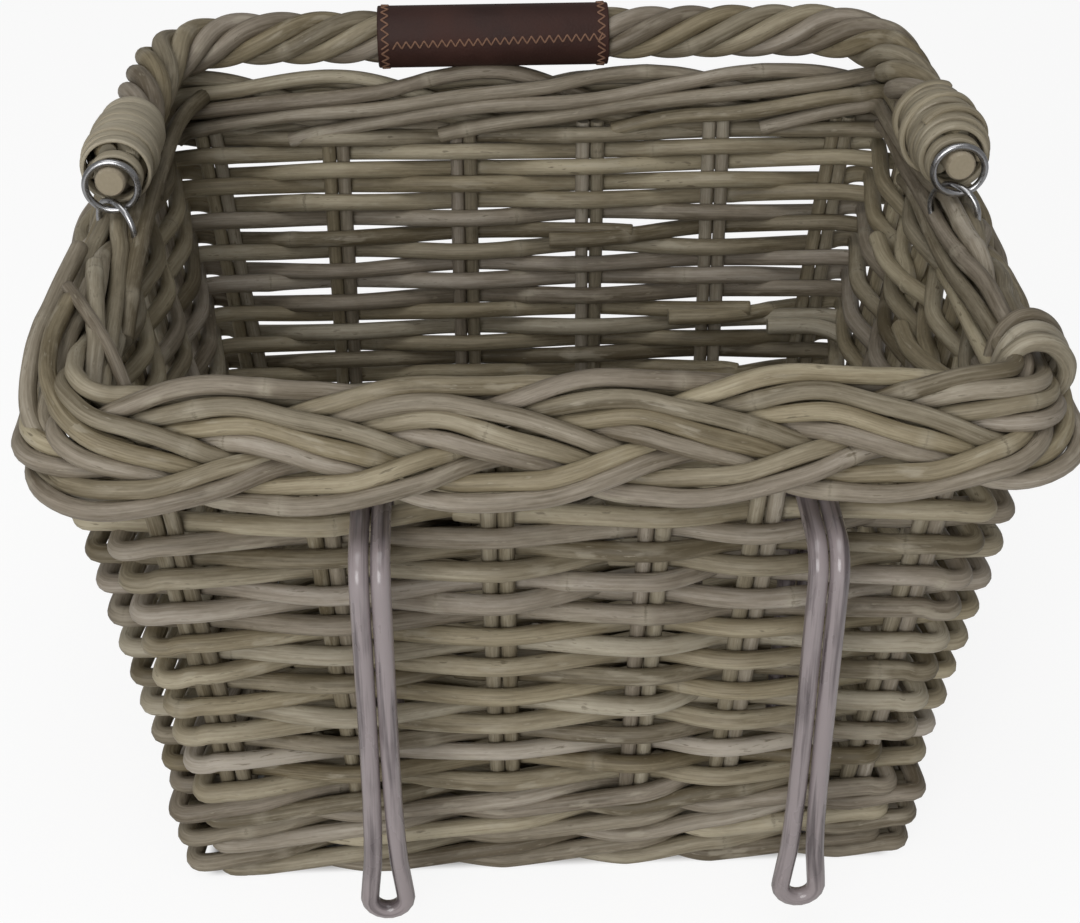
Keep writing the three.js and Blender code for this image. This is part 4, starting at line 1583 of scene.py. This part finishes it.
@dataclass
class Handle:
    """Twisted handle with its core, leather sleeve, bindings and rings."""

    shop: Workshop
    leg_rise: float = 13.195
    bar_rise: float = 10.63
    bar_reach: float = 145.0
    bar_half: float = 164.0
    bend: float = 38.0
    core: float = 12.4
    core_tip: float = 1.8
    rope: float = 24.0
    rope_rods: int = 5
    rope_rod: float = 8.5
    rope_lead: float = 88.0
    rope_start: float = 10.5
    rope_tones: tuple[float, float] = (0.2, 0.08)
    sleeve_radius: float = 14.1
    leather: float = 1.7
    leather_edge: float = 0.7
    seam: tuple[float, float] = (-1.5, 9.0)
    seam_ends: tuple[float, float] = (7.0, 3.0)
    seam_points: int = 48
    round_points: int = 40
    round_inset: float = 1.8
    stitch: float = 3.3
    thread: float = 0.84
    handle_ring: float = 10.6
    handle_wire: float = 2.9
    rim_ring: float = 11.5
    rim_wire: float = 2.6
    binding_start: float = 4.0
    # Share of the binding's length and its radius there
    swell: tuple[tuple[float, float], ...] = (
        (0, 8.6), (0.03, 9.2), (0.06, 11.4), (0.1, 13.2), (0.22, 14.1), (0.7, 14.1), (1, 12.8),
    )
    turns: float = 9.6
    pitch: float = 4.9
    left_strip: Strip = Strip(0.8, 2.8, 0.62)
    right_strip: Strip = Strip(1.5, 2.6, 0.35)
    crossing_strip: Strip = Strip(1.2, 2.4, 0.45)
    crossing_rise: float = 2.1
    seed: int = 800

    def __post_init__(self) -> None:
        """Take the hinge, the rings' place and the sleeve's ends from the frame."""
        lean = math.atan2(self.bar_rise - self.leg_rise, self.bar_reach)
        self.way = np.array([0.0, math.cos(lean), math.sin(lean)])
        self.normal = np.cross(X_AXIS, self.way)
        self.foot = np.array(frame["joints"][0]["pos_m"]) / MM + Z_AXIS * self.leg_rise
        self.ring_x = np.mean(box_of("rim_ring_right"), axis=0)[0]
        self.sleeve = [corner[0] for corner in box_of("leather_sleeve")]

    def point(self, across: float, reach: float) -> Array:
        """Point of the handle's plane at a place across and a distance from the hinge."""
        return self.foot + X_AXIS * across + self.way * reach

    def leg(self, side: int, reach: float) -> Array:
        """Point of the right leg's axis, side 1, or the left one's, side -1, at a distance from the hinge."""
        across = self.ring_x + (self.bar_half - self.ring_x) * reach / self.bar_reach
        return self.point(side * across, reach)

    def line(self, start: float) -> Array:
        """The handle's line from leg to leg, from and to a distance from the hinge."""
        ends = ((-1, start), (-1, self.bar_reach), (1, self.bar_reach), (1, start))
        return evenly(rounded([self.leg(*end) for end in ends], self.bend, 24), 2.0)

    def coiled(self, line: Array, turns: Array, radius: float | Array) -> tuple[Array, Array]:
        """Wind a line round another.

        Args:
            line: the line wound round.
            turns: angle at each of its points, in turns.
            radius: of the winding.

        Returns:
            The wound line and the directions that point out of it.
        """
        ways = unit(np.gradient(line, axis=0))
        sides = np.cross(self.normal, ways)
        angle = turns * TURN
        out = sides * np.cos(angle)[:, None] + self.normal * np.sin(angle)[:, None]
        return line + out * np.broadcast_to(radius, angle.shape)[:, None], out

    def rope_pieces(self) -> None:
        """Make the core and the rods twisted round it."""
        core = Rod(self.line(-self.core_tip), self.core / 2, self.seed, knots=False)
        self.shop.rods("handle_core_round", [core], CORE, Body.HANDLE, Slot.RATTAN, ["handle_core"], 20)
        line = self.line(self.rope_start)
        along = lengths(line)
        turns = -along / along[-1] * round(along[-1] / self.rope_lead)
        tone, step = self.rope_tones
        rods = []
        for i in range(self.rope_rods):
            path, _ = self.coiled(line, turns + i / self.rope_rods, (self.rope - self.rope_rod) / 2)
            rods.append(Rod(path, self.rope_rod / 2, self.seed + 1 + i, tone=tone + step * i))
        self.shop.rods("handle_twist_rods", rods, RATTAN, Body.HANDLE, Slot.RATTAN, ["handle_twist"], 16)

    def cane(self, strip: Strip, coil: tuple[Array, Array], side: int, seed: int) -> Rod:
        """Lay a cane strip along a coil, drawn for the left end and mirrored for the right."""
        path, out = (line * (-side, 1, 1) for line in coil)
        return Rod(path, strip.thick, seed, strip.wide, out, strip.tone, knots=False)

    def binding(self, side: int) -> None:
        """Make the cane wound round one end.

        Args:
            side: 1 on the right, where a second strip crosses the first, and -1 on the left.
        """
        line = self.line(self.binding_start)
        turns = np.linspace(0, self.turns, round(self.turns * 40))
        centre = read(line, lengths(line), turns * self.pitch)
        share = turns / turns[-1]
        wobble = Drift(self.seed + 40 + side, 1.3, 0.35).at(turns)
        radius = np.interp(share, *np.transpose(self.swell)) + wobble
        strip = self.left_strip if side < 0 else self.right_strip
        strips = [self.cane(strip, self.coiled(centre, turns, radius), side, self.seed + 30 + side)]
        if side > 0:
            over = np.linspace(0.3, 0.95, 160)
            rise = np.interp(over, share, radius) + self.crossing_rise
            coil = self.coiled(read(centre, share, over), 0.4 - over * 3.4, rise)
            strips.append(self.cane(self.crossing_strip, coil, side, self.seed + 35))
        node = "binding_left" if side < 0 else "binding_right"
        self.shop.rods(f"{node}_cane", strips, CANE, Body.HANDLE, Slot.CANE, [node])

    def ring(self, node: str, axis: Array, radius: float, wire: float, body: Body) -> None:
        """Make a ring of wire.

        Args:
            node: CAD node that it stands for.
            axis: square to its plane.
            radius: at the middle of the wire.
            wire: diameter of the wire.
            body: that it moves with.
        """
        bpy.ops.object.select_all(action="DESELECT")
        bpy.ops.mesh.primitive_torus_add(
            major_segments=72, minor_segments=20, major_radius=radius * MM, minor_radius=wire / 2 * MM,
            location=Vector(np.mean(box_of(node), axis=0) * MM),
            rotation=Vector(axis).to_track_quat("Z", "Y").to_euler(),
        )
        piece = bpy.context.object
        bpy.ops.object.transform_apply(location=True, rotation=True, scale=True)
        bpy.ops.object.shade_smooth()
        piece.name = f"{node}_wire"
        piece.data.materials.append(self.shop.palette.of(STEEL))
        self.shop.place(piece, body, Slot.STEEL, [node])

    def rings(self) -> None:
        """Make the rings that link the handle to the rim."""
        for name, side in (("left", -1), ("right", 1)):
            self.ring(f"handle_ring_{name}", self.way, self.handle_ring, self.handle_wire, Body.HANDLE)
            level = np.array([math.cos(math.pi / 4), -math.sin(math.pi / 4), 0]) * side
            axis = np.cross(level, Z_AXIS)
            self.ring(f"rim_ring_{name}", axis, self.rim_ring, self.rim_wire, Body.BASKET)

    def leather_sleeve(self) -> None:
        """Make the leather sleeve and its stitches."""
        left, right = self.sleeve
        middle = self.point((left + right) / 2, self.bar_reach)
        bpy.ops.object.select_all(action="DESELECT")
        bpy.ops.mesh.primitive_cylinder_add(
            vertices=96, radius=self.sleeve_radius * MM, depth=(right - left) * MM,
            location=Vector(middle * MM), rotation=Euler((0, math.pi / 2, 0)),
        )
        piece = bpy.context.object
        bpy.ops.object.transform_apply(location=True, rotation=True, scale=True)
        bpy.ops.object.mode_set(mode="EDIT")
        bpy.ops.mesh.select_mode(type="FACE")
        bpy.ops.mesh.select_all(action="DESELECT")
        bpy.ops.mesh.select_face_by_sides(number=96)
        bpy.ops.mesh.inset(thickness=self.leather * MM)
        bpy.ops.mesh.bridge_edge_loops()
        bpy.ops.mesh.select_all(action="SELECT")
        bpy.ops.mesh.normals_make_consistent(inside=False)
        bpy.ops.object.mode_set(mode="OBJECT")
        bevel = piece.modifiers.new("edge", "BEVEL")
        bevel.width, bevel.segments, bevel.angle_limit = self.leather_edge * MM, 3, math.radians(40)
        bpy.ops.object.modifier_apply(modifier="edge")
        bpy.ops.object.shade_smooth_by_angle(angle=math.radians(35))
        piece.name = "leather_sleeve_grip"
        piece.data.materials.append(self.shop.palette.of(LEATHER))
        self.shop.place(piece, Body.HANDLE, Slot.LEATHER, ["leather_sleeve"])
        self.stitches()

    def zigzag(self, places: Array, angles: Array) -> Rod:
        """Draw a line of zigzag stitches on the sleeve.

        Args:
            places: across the handle.
            angles: round the sleeve.

        Returns:
            The thread.
        """
        axis = self.point(0, self.bar_reach)
        out = -self.way[None] * np.cos(angles)[:, None] + self.normal[None] * np.sin(angles)[:, None]
        path = axis + X_AXIS * places[:, None] + out * (self.sleeve_radius + 0.15)
        return Rod(evenly(path, 0.5), self.thread / 2, self.seed + 60, knots=False)

    def stitches(self) -> None:
        """Make the sleeve's stitches: round both ends and along the lower front."""
        left, right = self.sleeve
        low, high = np.radians(self.seam)
        round_angles = np.linspace(low, low + TURN, self.round_points)
        swing = self.round_inset + np.arange(self.round_points) % 2 * self.stitch
        threads = [self.zigzag(left + swing, round_angles), self.zigzag(right - swing, round_angles)]
        places = np.linspace(left + self.seam_ends[0], right - self.seam_ends[1], self.seam_points)
        swing = np.arange(self.seam_points) % 2 * self.stitch / self.sleeve_radius
        threads.append(self.zigzag(places, np.linspace(low, high, self.seam_points) + swing))
        self.shop.rods("sleeve_stitches", threads, THREAD, Body.HANDLE, Slot.LEATHER, [], 6)

    def build(self) -> None:
        """Make the pieces of the handle."""
        self.rope_pieces()
        self.leather_sleeve()
        for side in (-1, 1):
            self.binding(side)
        self.rings()


# Studio


@dataclass
class Studio:
    """Camera, floor and light."""

    camera_at: tuple[float, float, float] = (-31.0, -762.2, 660.2)
    pitch: float = 34.85
    yaw: float = 2.4
    lens: float = 69.2
    ambient: float = 0.26
    glow: float = 1.08
    glow_share: float = 0.8
    # Half sizes, in metres, of the floor under the basket, which keeps its full shadow
    shaded: tuple[float, float] = (0.149, 0.1225)

    def camera(self) -> None:
        """Set up the camera."""
        data = bpy.data.cameras.new("camera")
        data.lens, data.sensor_width = self.lens, 36.0
        data.clip_start, data.clip_end = 0.05, 50.0
        camera = bpy.data.objects.new("camera", data)
        camera.location = Vector(self.camera_at) * MM
        camera.rotation_euler = Euler((math.radians(90 - self.pitch), 0, math.radians(-self.yaw)))
        bpy.context.scene.collection.objects.link(camera)
        bpy.context.scene.camera = camera

    def floor(self) -> None:
        """Lay a pale floor that keeps the object's shadow."""
        bpy.ops.object.select_all(action="DESELECT")
        bpy.ops.mesh.primitive_plane_add(size=12.0, location=(0, 0, -0.0002))
        floor = bpy.context.object
        floor.name = "floor"
        s = Shader("floor")
        seen = s.node("ShaderNodeLightPath", {}, {})["Is Camera Ray"]
        s.finish({"Base Color": (0.82, 0.82, 0.82, 1.0), "Roughness": 0.9})
        glow = s.node("ShaderNodeEmission", {}, {"Color": (1, 1, 1, 1), "Strength": self.glow})["Emission"]
        plain = Wire(s, s.surface.outputs["BSDF"])
        place = s.node("ShaderNodeSeparateXYZ", {}, {"Vector": s.objects()})
        under = 1.0
        for axis, half in zip("XY", self.shaded):
            under = ((half - place[axis].apply("ABSOLUTE")) * 200.0).clamped() * under
        share = seen * self.glow_share * (1.0 - under)
        mixed = s.node("ShaderNodeMixShader", {}, {0: share, 1: plain, 2: glow})["Shader"]
        s.tree.links.new(mixed.socket, s.tree.nodes["Material Output"].inputs["Surface"])
        floor.data.materials.append(s.material)

    def lamp(self, name: str, at: tuple[float, float, float], size: float, power: float) -> None:
        """Hang a soft lamp that faces the object.

        Args:
            name: of the lamp.
            at: its place, in metres.
            size: its side, in metres.
            power: in watts.
        """
        data = bpy.data.lights.new(name, "AREA")
        data.shape, data.size, data.energy = "SQUARE", size, power
        lamp = bpy.data.objects.new(name, data)
        lamp.location = at
        lamp.rotation_euler = (Vector((0, 0, 0.15)) - Vector(at)).to_track_quat("-Z", "Y").to_euler()
        bpy.context.scene.collection.objects.link(lamp)

    def light(self) -> None:
        """Set the world and the lamps."""
        world = bpy.data.worlds.new("world")
        bpy.context.scene.world = world
        world.use_nodes = True
        tree = world.node_tree
        back = tree.nodes["Background"]
        back.inputs["Color"].default_value = (1, 1, 1, 1)
        path = tree.nodes.new("ShaderNodeLightPath")
        level = tree.nodes.new("ShaderNodeMapRange")
        level.inputs["To Min"].default_value = self.ambient
        level.inputs["To Max"].default_value = 1.0
        tree.links.new(path.outputs["Is Camera Ray"], level.inputs["Value"])
        tree.links.new(level.outputs["Result"], back.inputs["Strength"])
        self.lamp("key", (-0.7, -2.3, 1.15), 1.4, 30.5)
        self.lamp("top", (-0.3, -0.6, 2.5), 1.8, 17.0)

    def build(self) -> None:
        """Set up the whole studio."""
        self.camera()
        self.floor()
        self.light()
        bpy.context.scene.view_settings.view_transform = "Standard"


def main() -> None:
    """Build the scene."""
    logging.basicConfig(level=logging.INFO, format="%(name)s: %(message)s")
    shop, wall = Workshop(), Wall()
    Studio().build()
    Weave(wall, shop).build()
    Base(wall, shop).build()
    Border(wall, shop).build()
    for node, seed in (("hook_left", 704), ("hook_right", 705)):
        Hook(shop, node, seed).build()
    Handle(shop).build()


if __name__ == "__main__":
    main()
